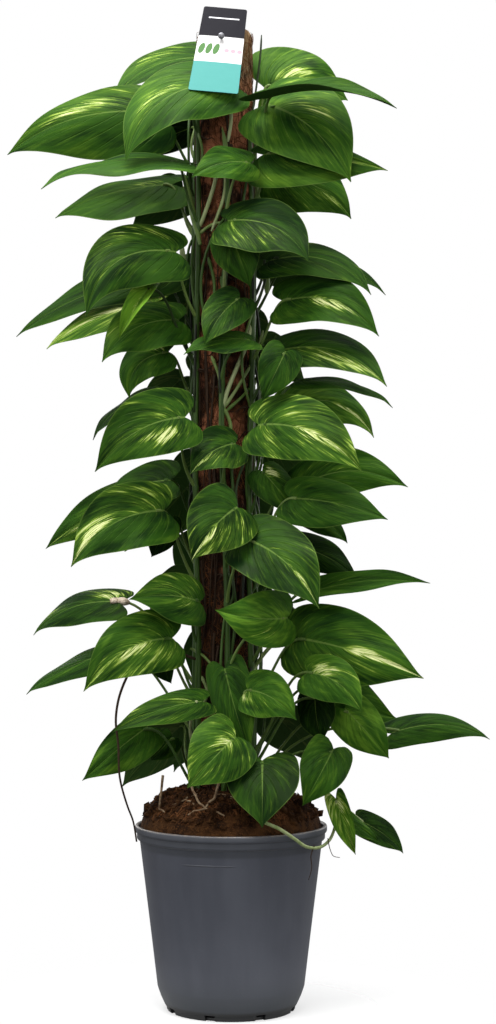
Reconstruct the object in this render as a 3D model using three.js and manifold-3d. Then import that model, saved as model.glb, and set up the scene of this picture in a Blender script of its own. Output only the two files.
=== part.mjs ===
// A potted scindapsus on a coir pole, in millimetres, with +Z up.
// The origin is the middle of the pot's underside, and the front of the plant faces -Y.

import * as THREE from 'three';
import { mergeVertices } from 'three/addons/utils/BufferGeometryUtils.js';
import Module from 'manifold-3d';

const wasm = await Module();
wasm.setup();

// Pot
const POT_HEIGHT = 230;
const RIM_RADIUS = 120;
const LIP_HEIGHT = 8;
const BAND_HEIGHT = 9;
const BAND_RADIUS = 117.5;
const WALL_TOP_RADIUS = 114;
const WALL_FOOT_RADIUS = 93;
const SHOULDER_HEIGHT = 42;
const FOOT_RADIUS = 81;
const FOOT_HEIGHT = 5;
const FOOT_FLARE = 5;
const FOOT_STEP = 22;
const WALL = 2.4;
const POT_SIDES = 40;
const DRAIN_COUNT = 8;
const DRAIN_WIDTH = 13;
const DRAIN_DEPTH = 12;
const DRAIN_HEIGHT = 9;
const DRAIN_TURN = 4;
const CLEARANCE = 0.4;

// Potting mix, heaped a little over the rim
const HEAP_TOP = 258;
const SOIL_EDGE_HEIGHT = 219;
const SOIL_SIDES = 30;
const STEM_HOLE_CLEARANCE = 0.9;
const STEM_HOLE_FLOOR = 126;
const RUNNER_HOLE_FLOOR = 164;

// Coir pole and the tube inside it
const POLE_X = -8;
const POLE_Y = 5;
const POLE_RADIUS = 35;
const POLE_BOTTOM = 24;
const POLE_TOP = 1222;
const POLE_SIDES = 24;
const POLE_EDGE = 9;
const CORE_RADIUS = 12.5;
const CORE_WALL = 2.2;
const CORE_BOTTOM = 12;
const CORE_TOP = 1214;
const CORE_SIDES = 16;

// Plant label, pinned to the top of the pole
const LABEL_TOP_WIDTH = 54;
const LABEL_BOTTOM_WIDTH = 61;
const LABEL_HEIGHT = 134;
const LABEL_THICKNESS = 0.8;
const LABEL_HOLE_DROP = 48;
const LABEL_LEAN = 28;
const LABEL_TILT = 6.5;
const PIN_ACROSS = -12;
const PIN_HEIGHT = 1204;
const PIN_RADIUS = 1.5;
const PIN_LENGTH = 24;
const PIN_DEPTH = 9;
const PIN_HEAD_RADIUS = 4;
const PIN_HEAD_THICKNESS = 1.6;
const LABEL_STANDOFF = 8;
const LABEL_HOLE_RADIUS = 2.4;

// Climbing stems
const STEM_RING = 41.5;
const STEM_RADIUS = 4.4;
const STEM_BOTTOM = 130;
const STEM_STRAIGHT_TO = 290;
const STEM_STEP = 85;
const STEM_WANDER = 5;
const PETIOLE_RADIUS = 2.1;
const ROOT_RADIUS = 1.9;
const RUNNER_RADIUS = 3;
const RUNNER_BOTTOM = 170;
const RUNNER_HOLE_RADIUS = 5.85;

// Leaves
const BLADE_THICKNESS = 1;
const BLADE_ROWS = [0, 0.15, 0.34, 0.56, 0.8];
const LOBE_REACH = 0.14;
const WIDEST_AT = 0.3;
const ARCH = 0.07;
const FOLD = -0.14;
const STALK_END = 0.07;

// A leaf's place is noted as it looks from in front of the plant, in the upright plane of the
// pole: across, up, and how far behind that plane it lies. Nearer the eye a thing looks larger.
const EYE_DISTANCE = 2600;
const EYE_HEIGHT = 570;

// Each leaf: across, up and depth of the blade's root, the same of its tip, its width, how far
// its face turns up from the eye in degrees, how far it bows upwards as a share of its length,
// and, where it isn't FOLD, how far its halves rise from the midrib, in radians. A negative
// fold is a ridge.
const FRONT_LEFT_LEAVES = [
  [-4, 1158, -66, -134, 1066, -92, 94, 20, 0.16],
  [-59, 1054, -48, -239, 1028, -60, 84, 68, 0.09],
  [-69, 945, -62, -181, 866, -85, 86, 10, 0.2],
  [-66, 862, -44, -162, 809, -56, 74, 18, 0.12],
  [-101, 902, -64, -141, 836, -74, 34, 10, 0.02, 0.75],
  [-57, 738, -75, -170, 671, -96, 84, 5, 0.1],
  [-84, 622, -80, -200, 552, -100, 88, 5, 0.12],
  [-39, 508, -48, -126, 512, -84, 68, 18, 0.04],
  [-74, 462, -70, -184, 396, -96, 80, 5, 0.12],
  [-36, 384, -68, -150, 346, -80, 44, 30, 0.02],
  [-104, 352, -34, -186, 284, -52, 78, 0, 0.02],
  [6, 341, -84, -54, 276, -112, 82, 0, 0.02],
];
const FRONT_LEAVES = [
  [24, 1056, -62, -49, 1040, -80, 52, 25, 0.05],
  [-4, 984, -66, 98, 936, -88, 92, 28, 0.12],
  [-1, 966, -56, 24, 902, -64, 60, 0, 0],
  [11, 888, -56, -33, 829, -72, 56, 10, 0.05],
  [24, 836, -58, -60, 821, -72, 50, 48, 0.02],
  [6, 706, -60, -51, 669, -78, 62, 15, 0.08],
  [8, 626, -76, -49, 560, -104, 86, 0, 0.06],
  [22, 585, -74, 110, 500, -104, 90, 8, 0.08],
  [71, 488, -68, -19, 498, -84, 72, 10, -0.06],
  [-8, 425, -46, 24, 314, -64, 58, -10, 0],
  [21, 398, -72, 81, 360, -92, 62, 0, 0.1],
  [39, 310, -86, 39, 226, -134, 92, 0, 0],
];
const FRONT_RIGHT_LEAVES = [
  [44, 1136, -52, 208, 1129, -80, 78, 58, 0.03, 0.3],
  [46, 1130, -44, 150, 1034, -74, 114, 4, 0.08],
  [40, 1064, -30, 196, 1049, -48, 92, 16, 0.02],
  [49, 934, -34, 176, 894, -44, 66, 34, 0.14],
  [66, 884, -46, 185, 841, -66, 74, 8, 0.14],
  [55, 822, -44, 196, 780, -62, 76, 34, 0.13],
  [68, 820, -66, 39, 759, -76, 52, 0, 0],
  [92, 785, -28, 204, 754, -38, 58, 68, 0.08],
  [34, 729, -74, 164, 671, -96, 86, 5, 0.11],
  [39, 672, -42, 84, 616, -52, 50, 10, 0],
  [84, 650, -46, 221, 652, -62, 68, 10, 0.13],
  [74, 637, -64, 196, 612, -84, 68, 16, 0.02],
  [99, 520, -34, 249, 534, -44, 54, 44, 0.0, 0.3],
  [84, 462, -56, 241, 412, -78, 100, 5, 0.03],
  [96, 420, -80, 164, 370, -98, 60, 5, 0.12],
  [105, 391, -48, 114, 329, -54, 58, -30, 0],
  [128, 325, -62, 90, 252, -82, 62, 0, 0],
];
const BACK_LEFT_LEAVES = [
  [-16, 1194, 34, -152, 1137, -14, 76, 44, 0.14],
  [-92, 1120, -8, -282, 1068, -26, 102, 16, 0.07],
  [-42, 1106, 30, -132, 1066, 16, 52, -30, 0.04],
  [-74, 1034, 12, -222, 990, -8, 74, 44, 0],
  [-82, 920, 6, -270, 840, -8, 62, 38, 0.02],
  [-95, 885, -12, -234, 827, -26, 60, 50, 0.0],
  [-79, 820, -16, -129, 762, -28, 60, 18, 0.22],
  [-101, 766, 8, -176, 712, 2, 46, 58, 0.08],
  [-76, 660, -18, -158, 618, -32, 62, 28, 0.1],
  [-112, 642, 12, -234, 574, -4, 56, 14, 0.03],
  [-79, 612, -8, -99, 562, -12, 46, -18, 0],
  [-142, 508, 12, -250, 468, 12, 60, 44, 0.08],
  [-140, 446, 8, -259, 394, 14, 46, 50, 0],
  [-100, 456, -22, -74, 404, -26, 42, 0, 0],
  [-74, 338, -14, -101, 308, -20, 36, 0, 0],
];
const BACK_RIGHT_LEAVES = [
  [42, 1152, 22, 148, 1136, 6, 114, 12, 0.08],
  [52, 1038, 10, 152, 987, -14, 82, 10, 0.12],
  [74, 932, 16, 196, 894, 8, 46, 48, 0.08],
  [74, 754, -6, 181, 714, -24, 62, 22, 0.18],
  [86, 622, -12, 148, 581, -20, 36, 20, 0.05],
  [82, 578, 2, 160, 536, -10, 46, 10, 0.05],
  [111, 410, -14, 209, 362, -30, 70, 12, -0.08],
  [142, 375, -24, 199, 311, -40, 60, 8, 0],
  [201, 344, 8, 326, 338, 16, 44, 38, 0.07],
];
const RUNNER_LEAVES = [
  [130, 264, -38, 156, 190, -48, 32, -5, 0, 0.5],
  [138, 243, -20, 186, 209, -24, 24, 30, -0.05],
  [161, 233, -14, 218, 194, -20, 40, 38, 0.02],
];

// Leaves on the far side follow one rule: they climb by even steps in the columns of each stem,
// and each varies a little in its place, its length and the way its face turns.
const FAR_FIRST = 345;
const FAR_REACH = 60;
const FAR_LENGTH = 112;
const FAR_WIDTH_SHARE = 0.66;
const FAR_SPREAD = 10;
const FAR_OUT = 0.8;
const FAR_DROP = 0.45;
const FAR_FACE = 138;
const FAR_FACE_SPREAD = 24;
const FAR_SWAY = 0.04;
const SEED = 41;

// How leaves settle: one that lies too close in front of or behind another is eased away.
const SETTLE_NEAR = 11;
const SETTLE_GAP = 9;
const SETTLE_ROUNDS = 140;
const SETTLE_RATE = 0.8;
const SETTLE_KEEP = 0.99;
const CORE_ZONE = 46;
const STALK_ZONE = 39;

// Stems, by their place round the pole in degrees from +X, with their top, their leaves, how far
// these fan out in depth for each step across, and the columns of the leaves on the far side
const FAN = 0.3;
const VINES = [
  { name: 'vine_front_left', azimuth: 214, top: 1128, leaves: FRONT_LEFT_LEAVES, fan: -FAN },
  { name: 'vine_front', azimuth: 270, top: 1048, leaves: FRONT_LEAVES, fan: -FAN },
  { name: 'vine_front_right', azimuth: 322, top: 1112, leaves: FRONT_RIGHT_LEAVES, fan: -FAN },
  {
    name: 'vine_back_left', azimuth: 152, top: 1150, leaves: BACK_LEFT_LEAVES, fan: FAN,
    farCount: 6, farColumns: [140],
  },
  {
    name: 'vine_back', azimuth: 92, top: 1095, leaves: [], fan: 0,
    farCount: 13, farColumns: [110, 72],
  },
  {
    name: 'vine_back_right', azimuth: 28, top: 1120, leaves: BACK_RIGHT_LEAVES, fan: FAN,
    farCount: 7, farColumns: [40],
  },
];
const RUNNER_VINE = { name: 'vine_runner', azimuth: 322, top: 300 };

// The aerial root that hangs at the left, and the runner that leaves the pot over its rim,
// both noted as they look from in front
const HANGING_ROOT = [
  [-44, 436, -22], [-79, 447, -38], [-104, 444, -52], [-121, 430, -60], [-131, 412, -64],
  [-140, 388, -68], [-144, 360, -72], [-141, 330, -76], [-139, 288, -76], [-130, 254, -62],
  [-122, 232, -46], [-118, 208, -40],
];
const RUNNER_ROOT = [26, -70];
const RUNNER_STALK_SHARES = [0.995, 0.93, 0.97];
const RUNNER_PATH = [
  [33, 246, -92], [39, 234, -114], [60, 224, -114], [80, 211, -102], [93, 202, -91],
  [106, 200, -76], [117, 204, -58], [125, 213, -44], [132, 236, -36], [134, 256, -33],
];

const rad = THREE.MathUtils.degToRad;
const xyz = (x, y, z) => new THREE.Vector3(x, y, z);

// A point that looks to lie at (across, up) from the front, and is really at that depth
function seen(across, up, depth) {
  const nearness = (EYE_DISTANCE + depth) / EYE_DISTANCE;
  return xyz(across * nearness, depth, EYE_HEIGHT + (up - EYE_HEIGHT) * nearness);
}

// Even draws from 0 to 1, the same each time
function seededDraws(seed) {
  let state = seed;
  return () => {
    state = (state * 1664525 + 1013904223) % 4294967296;
    return state / 4294967296;
  };
}

// Closed geometry to a solid that can be joined and cut, and back again
function solidOf(geometry) {
  const bare = geometry.index ? geometry.clone() : geometry;
  bare.deleteAttribute('normal');
  bare.deleteAttribute('uv');
  const merged = mergeVertices(bare, 1e-4);
  return new wasm.Manifold(new wasm.Mesh({
    numProp: 3,
    vertProperties: new Float32Array(merged.attributes.position.array),
    triVerts: new Uint32Array(merged.index.array),
  }));
}

function geometryOf(solid) {
  const mesh = solid.getMesh();
  const geometry = new THREE.BufferGeometry();
  geometry.setAttribute('position', new THREE.BufferAttribute(mesh.vertProperties, 3));
  geometry.setIndex(new THREE.BufferAttribute(mesh.triVerts, 1));
  geometry.computeVertexNormals();
  return geometry;
}

// Ring turned round the upright line through (x, y) from points of radius and height
function turned(profile, sides, x = 0, y = 0) {
  const geometry = new THREE.LatheGeometry(profile.map(([r, z]) => new THREE.Vector2(r, z)), sides);
  geometry.rotateX(Math.PI / 2);
  geometry.translate(x, y, 0);
  return geometry;
}

function rod(radius, bottom, top, sides, x, y) {
  const geometry = new THREE.CylinderGeometry(radius, radius, top - bottom, sides);
  geometry.rotateX(Math.PI / 2);
  geometry.translate(x, y, (top + bottom) / 2);
  return geometry;
}

function tube(curve, radius, sides, steps) {
  const section = new THREE.Shape();
  for (let i = 0; i < sides; i += 1) {
    const angle = (2 * Math.PI * i) / sides;
    const x = radius * Math.cos(angle);
    const y = radius * Math.sin(angle);
    if (i === 0) section.moveTo(x, y);
    else section.lineTo(x, y);
  }
  section.closePath();
  return new THREE.ExtrudeGeometry(section, { steps, bevelEnabled: false, extrudePath: curve });
}

// Share of the full width that a blade has at s, from its root at 0 to its tip at 1. It swells
// along a quarter of a sine up to its widest place, and a falling power draws the tip in.
function bladeWidth(s) {
  const swell = 0.6 + 0.4 * Math.sin((Math.PI / 2) * Math.min(s / WIDEST_AT, 1));
  return 1.08 * swell * (1 - s ** 2.2) ** 1.25;
}

// The frame of one leaf: its root and tip, the way its face looks and the way up its blade.
// Leaves fan out, those in front towards the eye and those behind away from it.
function leafFrame(fan, row) {
  const [across, up, depth, tipAcross, tipUp, tipDepth, width, face, sway, fold = FOLD] = row;
  const root = seen(across, up, depth);
  const tip = seen(tipAcross, tipUp, tipDepth + fan * Math.abs(tipAcross - across));
  const reach = tip.clone().sub(root);
  const length = reach.length();
  const axis = reach.clone().normalize();
  const toEye = xyz(0, -1, 0).addScaledVector(axis, axis.y).normalize();
  const upward = toEye.clone().cross(axis).multiplyScalar(tip.x < root.x ? -1 : 1);
  const turn = rad(face);
  const normal = toEye.clone().multiplyScalar(Math.cos(turn))
    .addScaledVector(upward, Math.sin(turn));
  const side = upward.clone().multiplyScalar(Math.cos(turn))
    .addScaledVector(toEye, -Math.sin(turn));
  return { root, reach, length, width, normal, side, sway, fold, rootShift: 0, tipShift: 0 };
}

// A point of a blade: s runs along the midrib, q from edge to edge, lift above the middle
function bladePoint(leaf, s, q, lift) {
  const bow = leaf.length * 4 * s * (1 - s);
  const bend = leaf.length * 4 * (1 - 2 * s);
  const along = leaf.reach.clone()
    .addScaledVector(leaf.normal, ARCH * bend)
    .addScaledVector(leaf.side, leaf.sway * bend)
    .normalize();
  const side = leaf.side.clone().addScaledVector(along, -along.dot(leaf.side)).normalize();
  const flip = Math.sign(along.clone().cross(side).dot(leaf.normal));
  const normal = along.clone().cross(side).multiplyScalar(flip);
  const half = (leaf.width / 2) * bladeWidth(s);
  const point = leaf.root.clone().addScaledVector(leaf.reach, s)
    .addScaledVector(leaf.normal, ARCH * bow)
    .addScaledVector(leaf.side, leaf.sway * bow)
    .addScaledVector(side, q * half * Math.cos(leaf.fold))
    .addScaledVector(normal, Math.abs(q) * half * Math.sin(leaf.fold) + lift)
    .addScaledVector(along, -LOBE_REACH * leaf.length * Math.abs(q) ** 1.5 * (1 - s) ** 3);
  point.y += leaf.rootShift * (1 - s) + leaf.tipShift * s;
  return point;
}

// A thin closed blade: an upper and a lower skin of the same triangles, and a rim between them
function bladeSolid(leaf) {
  const points = [];
  for (const lift of [BLADE_THICKNESS / 2, -BLADE_THICKNESS / 2]) {
    for (const s of BLADE_ROWS) {
      for (const q of [-1, 0, 1]) points.push(bladePoint(leaf, s, q, lift));
    }
    points.push(bladePoint(leaf, 1, 0, lift));
  }
  const rows = BLADE_ROWS.length;
  const tip = rows * 3;
  const skin = [];
  for (let row = 0; row < rows - 1; row += 1) {
    const a = row * 3;
    skin.push([a, a + 1, a + 4], [a, a + 4, a + 3], [a + 1, a + 2, a + 4], [a + 2, a + 5, a + 4]);
  }
  skin.push([tip - 3, tip - 2, tip], [tip - 2, tip - 1, tip]);
  const rim = [];
  for (let row = 0; row < rows; row += 1) rim.push(row * 3 + 2);
  rim.push(tip);
  for (let row = rows - 1; row >= 0; row -= 1) rim.push(row * 3);
  rim.push(1);
  const under = tip + 1;
  const faces = [];
  for (const [a, b, c] of skin) faces.push([a, b, c], [under + a, under + c, under + b]);
  rim.forEach((a, i) => {
    const b = rim[(i + 1) % rim.length];
    faces.push([a, under + a, under + b], [a, under + b, b]);
  });
  const middle = points[4];
  const upward = points[1].clone().sub(middle).cross(points[3].clone().sub(middle));
  const turnedOver = upward.dot(middle.clone().sub(points[under + 4])) > 0;
  const geometry = new THREE.BufferGeometry().setFromPoints(points);
  geometry.setIndex(faces.flatMap(([a, b, c]) => (turnedOver ? [a, c, b] : [a, b, c])));
  return solidOf(geometry);
}

function stemPoint(vine, height) {
  const climb = Math.max(0, height - STEM_STRAIGHT_TO);
  const angle = rad(vine.azimuth + STEM_WANDER * Math.sin(climb / 95 + vine.azimuth));
  return xyz(POLE_X + STEM_RING * Math.cos(angle), POLE_Y + STEM_RING * Math.sin(angle), height);
}

function stemCurve(vine) {
  const points = [STEM_BOTTOM, (STEM_BOTTOM + STEM_STRAIGHT_TO) / 2].map((z) => stemPoint(vine, z));
  for (let z = STEM_STRAIGHT_TO; z < vine.top - STEM_STEP / 2; z += STEM_STEP) {
    points.push(stemPoint(vine, z));
  }
  points.push(stemPoint(vine, vine.top));
  return new THREE.CatmullRomCurve3(points);
}

// The stalk leaves the stem below the blade's root, climbs outwards and ends inside the blade
function petioleCurve(vine, leaf) {
  const end = bladePoint(leaf, STALK_END, 0, 0);
  const level = Math.hypot(end.x - POLE_X, end.y - POLE_Y) - STEM_RING;
  const drop = 34 + 0.7 * Math.max(0, level);
  const height = THREE.MathUtils.clamp(end.z - drop, STEM_STRAIGHT_TO - 20, vine.top - 8);
  const start = stemPoint(vine, height);
  const span = end.distanceTo(start);
  const away = xyz(start.x - POLE_X, start.y - POLE_Y, 0).normalize();
  const out = xyz(end.x - POLE_X, end.y - POLE_Y, 0).normalize();
  const leave = start.clone().addScaledVector(away, 0.34 * span).add(xyz(0, 0, 0.45 * span));
  const arrive = end.clone().addScaledVector(out, -0.3 * span).add(xyz(0, 0, 0.04 * span));
  return new THREE.CubicBezierCurve3(start, leave, arrive, end);
}

// The rows of the leaves on the far side of a vine, worked out by rule
function farLeaves({ top, farCount = 0, farColumns = [] }, draw) {
  const leaves = [];
  const step = (top - FAR_FIRST) / farCount;
  for (let i = 0; i < farCount; i += 1) {
    const angle = rad(farColumns[i % farColumns.length] + FAR_SPREAD * (draw() - 0.5));
    const length = FAR_LENGTH * (0.82 + 0.36 * draw());
    const inner = FAR_REACH * (0.8 + 0.4 * draw());
    const outer = inner + length * FAR_OUT;
    const up = FAR_FIRST + step * (i + 0.5 * draw());
    const drop = length * (FAR_DROP + 0.2 * draw());
    leaves.push([
      POLE_X + inner * Math.cos(angle), up, POLE_Y + inner * Math.sin(angle),
      POLE_X + outer * Math.cos(angle), up - drop, POLE_Y + outer * Math.sin(angle),
      length * FAR_WIDTH_SHARE, FAR_FACE + FAR_FACE_SPREAD * draw(), FAR_SWAY,
    ]);
  }
  return leaves;
}

// Points that stand for a leaf while it settles, each with its share of the root's and the
// tip's shift
function leafSamples(vine, leaf) {
  const samples = [];
  const stalk = petioleCurve(vine, leaf);
  for (const u of [0.35, 0.6, 0.85]) {
    samples.push({ at: stalk.getPoint(u), root: u, tip: 0, stalk: true });
  }
  for (const s of [0, 0.17, 0.34, 0.5, 0.67, 0.84, 1]) {
    for (const q of [-1, -0.5, 0, 0.5, 1]) {
      samples.push({ at: bladePoint(leaf, s, q, 0), root: 1 - s, tip: s, stalk: false });
    }
  }
  return samples;
}

// Ease leaves that crowd each other apart along the depth, which leaves the front view alone.
// The label stays where it is, and leaves give way to it.
function settle(plants, label) {
  const leaves = plants.flatMap(({ vine, frames }) => frames.map((leaf) => ({ vine, leaf })));
  const samples = [];
  leaves.forEach(({ vine, leaf }, owner) => {
    for (const sample of leafSamples(vine, leaf)) samples.push({ ...sample, owner });
  });
  for (const at of label) {
    samples.push({ at, root: 0, tip: 0, stalk: false, owner: leaves.length });
  }
  leaves.push({ leaf: { root: label[0], rootShift: 0, tipShift: 0 } });
  const cells = new Map();
  samples.forEach(({ at }, i) => {
    const key = `${Math.floor(at.x / SETTLE_NEAR)},${Math.floor(at.z / SETTLE_NEAR)}`;
    cells.set(key, [...(cells.get(key) ?? []), i]);
  });
  const pairs = new Map();
  samples.forEach((one, i) => {
    const column = Math.floor(one.at.x / SETTLE_NEAR);
    const row = Math.floor(one.at.z / SETTLE_NEAR);
    for (const dx of [-1, 0, 1]) {
      for (const dz of [-1, 0, 1]) {
        for (const j of cells.get(`${column + dx},${row + dz}`) ?? []) {
          const other = samples[j];
          if (other.owner <= one.owner) continue;
          if (Math.hypot(one.at.x - other.at.x, one.at.z - other.at.z) > SETTLE_NEAR) continue;
          const key = `${one.owner},${other.owner},${one.stalk},${other.stalk}`;
          pairs.set(key, [...(pairs.get(key) ?? []), [i, j]]);
        }
      }
    }
  });
  const depthOf = ({ at, owner, root, tip }) => (
    at.y + root * leaves[owner].leaf.rootShift + tip * leaves[owner].leaf.tipShift);
  for (let round = 0; round < SETTLE_ROUNDS; round += 1) {
    const pushes = leaves.map(() => ({ root: 0, tip: 0, count: 0 }));
    const push = (sample, amount) => {
      const sum = pushes[sample.owner];
      sum.root += sample.root * amount;
      sum.tip += sample.tip * amount;
      sum.count += 1;
    };
    for (const list of pairs.values()) {
      let mean = 0;
      for (const [i, j] of list) mean += depthOf(samples[j]) - depthOf(samples[i]);
      const order = mean >= 0 ? 1 : -1;
      for (const [i, j] of list) {
        const gap = order * (depthOf(samples[j]) - depthOf(samples[i]));
        if (gap >= SETTLE_GAP) continue;
        const amount = (order * (SETTLE_GAP - gap)) / 2;
        push(samples[i], -amount);
        push(samples[j], amount);
      }
    }
    for (const sample of samples) {
      const zone = sample.stalk ? STALK_ZONE : CORE_ZONE;
      const across = sample.at.x - POLE_X;
      if (Math.abs(across) >= zone) continue;
      const depth = depthOf(sample) - POLE_Y;
      const edge = Math.sqrt(zone ** 2 - across ** 2);
      const front = leaves[sample.owner].leaf.root.y < POLE_Y;
      if (front && depth > -edge) push(sample, -edge - depth);
      if (!front && depth < edge) push(sample, edge - depth);
    }
    leaves.forEach(({ leaf }, i) => {
      const { root, tip, count } = pushes[i];
      if (count === 0) return;
      leaf.rootShift = SETTLE_KEEP * leaf.rootShift + (SETTLE_RATE * root) / count;
      leaf.tipShift = SETTLE_KEEP * leaf.tipShift + (SETTLE_RATE * tip) / count;
    });
  }
}

function runnerCurve() {
  const [x, y] = RUNNER_ROOT;
  const middle = (RUNNER_BOTTOM + HEAP_TOP) / 2;
  const rise = [RUNNER_BOTTOM, middle, HEAP_TOP + 3].map((z) => xyz(x, y, z));
  return new THREE.CatmullRomCurve3([...rise, ...RUNNER_PATH.map((point) => seen(...point))]);
}

// The runner's stalks all rise from its far end
function runnerStalk(curve, leaf, share) {
  const start = curve.getPointAt(share);
  const end = bladePoint(leaf, STALK_END, 0, 0);
  const span = end.distanceTo(start);
  const leave = start.clone().add(xyz(0, 0, 0.35 * span));
  const arrive = end.clone().add(xyz(-0.2 * span, 0, 0.15 * span));
  return new THREE.CubicBezierCurve3(start, leave, arrive, end);
}

function joined(solids) {
  return solids.reduce((sum, solid) => sum.add(solid));
}

function vineSolid({ vine, frames }) {
  const solids = [solidOf(tube(stemCurve(vine), STEM_RADIUS, 6, 12))];
  for (const leaf of frames) {
    solids.push(solidOf(tube(petioleCurve(vine, leaf), PETIOLE_RADIUS, 3, 4)));
    solids.push(bladeSolid(leaf));
  }
  if (vine.name === 'vine_front_left') {
    const root = new THREE.CatmullRomCurve3(HANGING_ROOT.map((point) => seen(...point)));
    solids.push(solidOf(tube(root, ROOT_RADIUS, 3, 14)));
  }
  return joined(solids);
}

function runnerSolid(frames) {
  const curve = runnerCurve();
  const solids = [solidOf(tube(curve, RUNNER_RADIUS, 5, 20))];
  frames.forEach((leaf, i) => {
    const stalk = runnerStalk(curve, leaf, RUNNER_STALK_SHARES[i]);
    solids.push(solidOf(tube(stalk, PETIOLE_RADIUS, 3, 4)));
    solids.push(bladeSolid(leaf));
  });
  return joined(solids);
}

function potSolid() {
  const bandBottom = POT_HEIGHT - LIP_HEIGHT - BAND_HEIGHT;
  const outside = [
    [0, 0], [FOOT_RADIUS, 0], [FOOT_RADIUS + 1.5, FOOT_HEIGHT],
    [FOOT_RADIUS + FOOT_FLARE, FOOT_STEP],
    [WALL_FOOT_RADIUS, SHOULDER_HEIGHT], [WALL_TOP_RADIUS, bandBottom], [BAND_RADIUS, bandBottom],
    [BAND_RADIUS, POT_HEIGHT - LIP_HEIGHT], [RIM_RADIUS, POT_HEIGHT - LIP_HEIGHT],
    [RIM_RADIUS, POT_HEIGHT - 1.5], [RIM_RADIUS - 1.5, POT_HEIGHT],
  ];
  const inside = [
    [WALL_TOP_RADIUS + 1, POT_HEIGHT], [WALL_TOP_RADIUS - WALL, bandBottom],
    [WALL_FOOT_RADIUS - WALL, SHOULDER_HEIGHT],
    [FOOT_RADIUS + FOOT_FLARE - WALL, FOOT_STEP + 2], [FOOT_RADIUS - 4, WALL], [0, WALL],
  ];
  let solid = solidOf(turned([...outside, ...inside], POT_SIDES));
  for (let i = 0; i < DRAIN_COUNT; i += 1) {
    const slot = new THREE.BoxGeometry(DRAIN_DEPTH, DRAIN_WIDTH, DRAIN_HEIGHT);
    slot.translate(FOOT_RADIUS, 0, DRAIN_HEIGHT / 2 - 1.5);
    slot.rotateZ((2 * Math.PI * (i + 0.5)) / DRAIN_COUNT + rad(DRAIN_TURN));
    solid = solid.subtract(solidOf(slot));
  }
  return solid;
}

function soilSolid() {
  const gap = CLEARANCE;
  const bandBottom = POT_HEIGHT - LIP_HEIGHT - BAND_HEIGHT;
  const slope = (WALL_TOP_RADIUS - WALL_FOOT_RADIUS) / (bandBottom - SHOULDER_HEIGHT);
  const edge = WALL_FOOT_RADIUS + slope * (SOIL_EDGE_HEIGHT - SHOULDER_HEIGHT) - WALL - gap - 0.6;
  const profile = [
    [0, WALL + gap], [FOOT_RADIUS - 6, WALL + gap + 0.3],
    [FOOT_RADIUS + FOOT_FLARE - WALL - 1.2, FOOT_STEP + 3],
    [WALL_FOOT_RADIUS - WALL - gap - 0.6, SHOULDER_HEIGHT], [edge, SOIL_EDGE_HEIGHT],
    [edge - 5, SOIL_EDGE_HEIGHT + 15], [edge - 18, SOIL_EDGE_HEIGHT + 27], [70, HEAP_TOP - 4],
    [46, HEAP_TOP], [0, HEAP_TOP],
  ];
  let solid = solidOf(turned(profile, SOIL_SIDES));
  const top = HEAP_TOP + 20;
  solid = solid.subtract(solidOf(
    rod(POLE_RADIUS + 0.7, POLE_BOTTOM - gap, top, POLE_SIDES, POLE_X, POLE_Y)));
  solid = solid.subtract(solidOf(
    rod(CORE_RADIUS + gap + 0.2, CORE_BOTTOM - gap, top, CORE_SIDES, POLE_X, POLE_Y)));
  for (const vine of VINES) {
    const foot = stemPoint(vine, STEM_BOTTOM);
    const hole = rod(STEM_RADIUS + STEM_HOLE_CLEARANCE, STEM_HOLE_FLOOR, top, 10, foot.x, foot.y);
    solid = solid.subtract(solidOf(hole));
  }
  const [x, y] = RUNNER_ROOT;
  const hole = rod(RUNNER_HOLE_RADIUS, RUNNER_HOLE_FLOOR, top, 10, x, y);
  return solid.subtract(solidOf(hole));
}

function poleSleeveSolid() {
  const inner = CORE_RADIUS + CLEARANCE;
  const edge = POLE_RADIUS - POLE_EDGE;
  const profile = [[inner, POLE_BOTTOM], [POLE_RADIUS, POLE_BOTTOM]];
  profile.push([POLE_RADIUS, POLE_TOP - POLE_EDGE]);
  for (const angle of [30, 60, 90]) {
    profile.push([
      edge + POLE_EDGE * Math.cos(rad(angle)),
      POLE_TOP - POLE_EDGE + POLE_EDGE * Math.sin(rad(angle)),
    ]);
  }
  profile.push([inner, POLE_TOP - 3], [inner, POLE_BOTTOM]);
  const sleeve = solidOf(turned(profile, POLE_SIDES, POLE_X, POLE_Y));
  const holeRadius = PIN_RADIUS + CLEARANCE;
  const hole = new THREE.CylinderGeometry(holeRadius, holeRadius, PIN_LENGTH, 10);
  hole.translate(PIN_ACROSS, POLE_Y - POLE_RADIUS, PIN_HEIGHT);
  return sleeve.subtract(solidOf(hole));
}

function poleCoreSolid() {
  const profile = [
    [CORE_RADIUS - CORE_WALL, CORE_BOTTOM], [CORE_RADIUS, CORE_BOTTOM], [CORE_RADIUS, CORE_TOP],
    [CORE_RADIUS - CORE_WALL, CORE_TOP], [CORE_RADIUS - CORE_WALL, CORE_BOTTOM],
  ];
  return solidOf(turned(profile, CORE_SIDES, POLE_X, POLE_Y));
}

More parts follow.
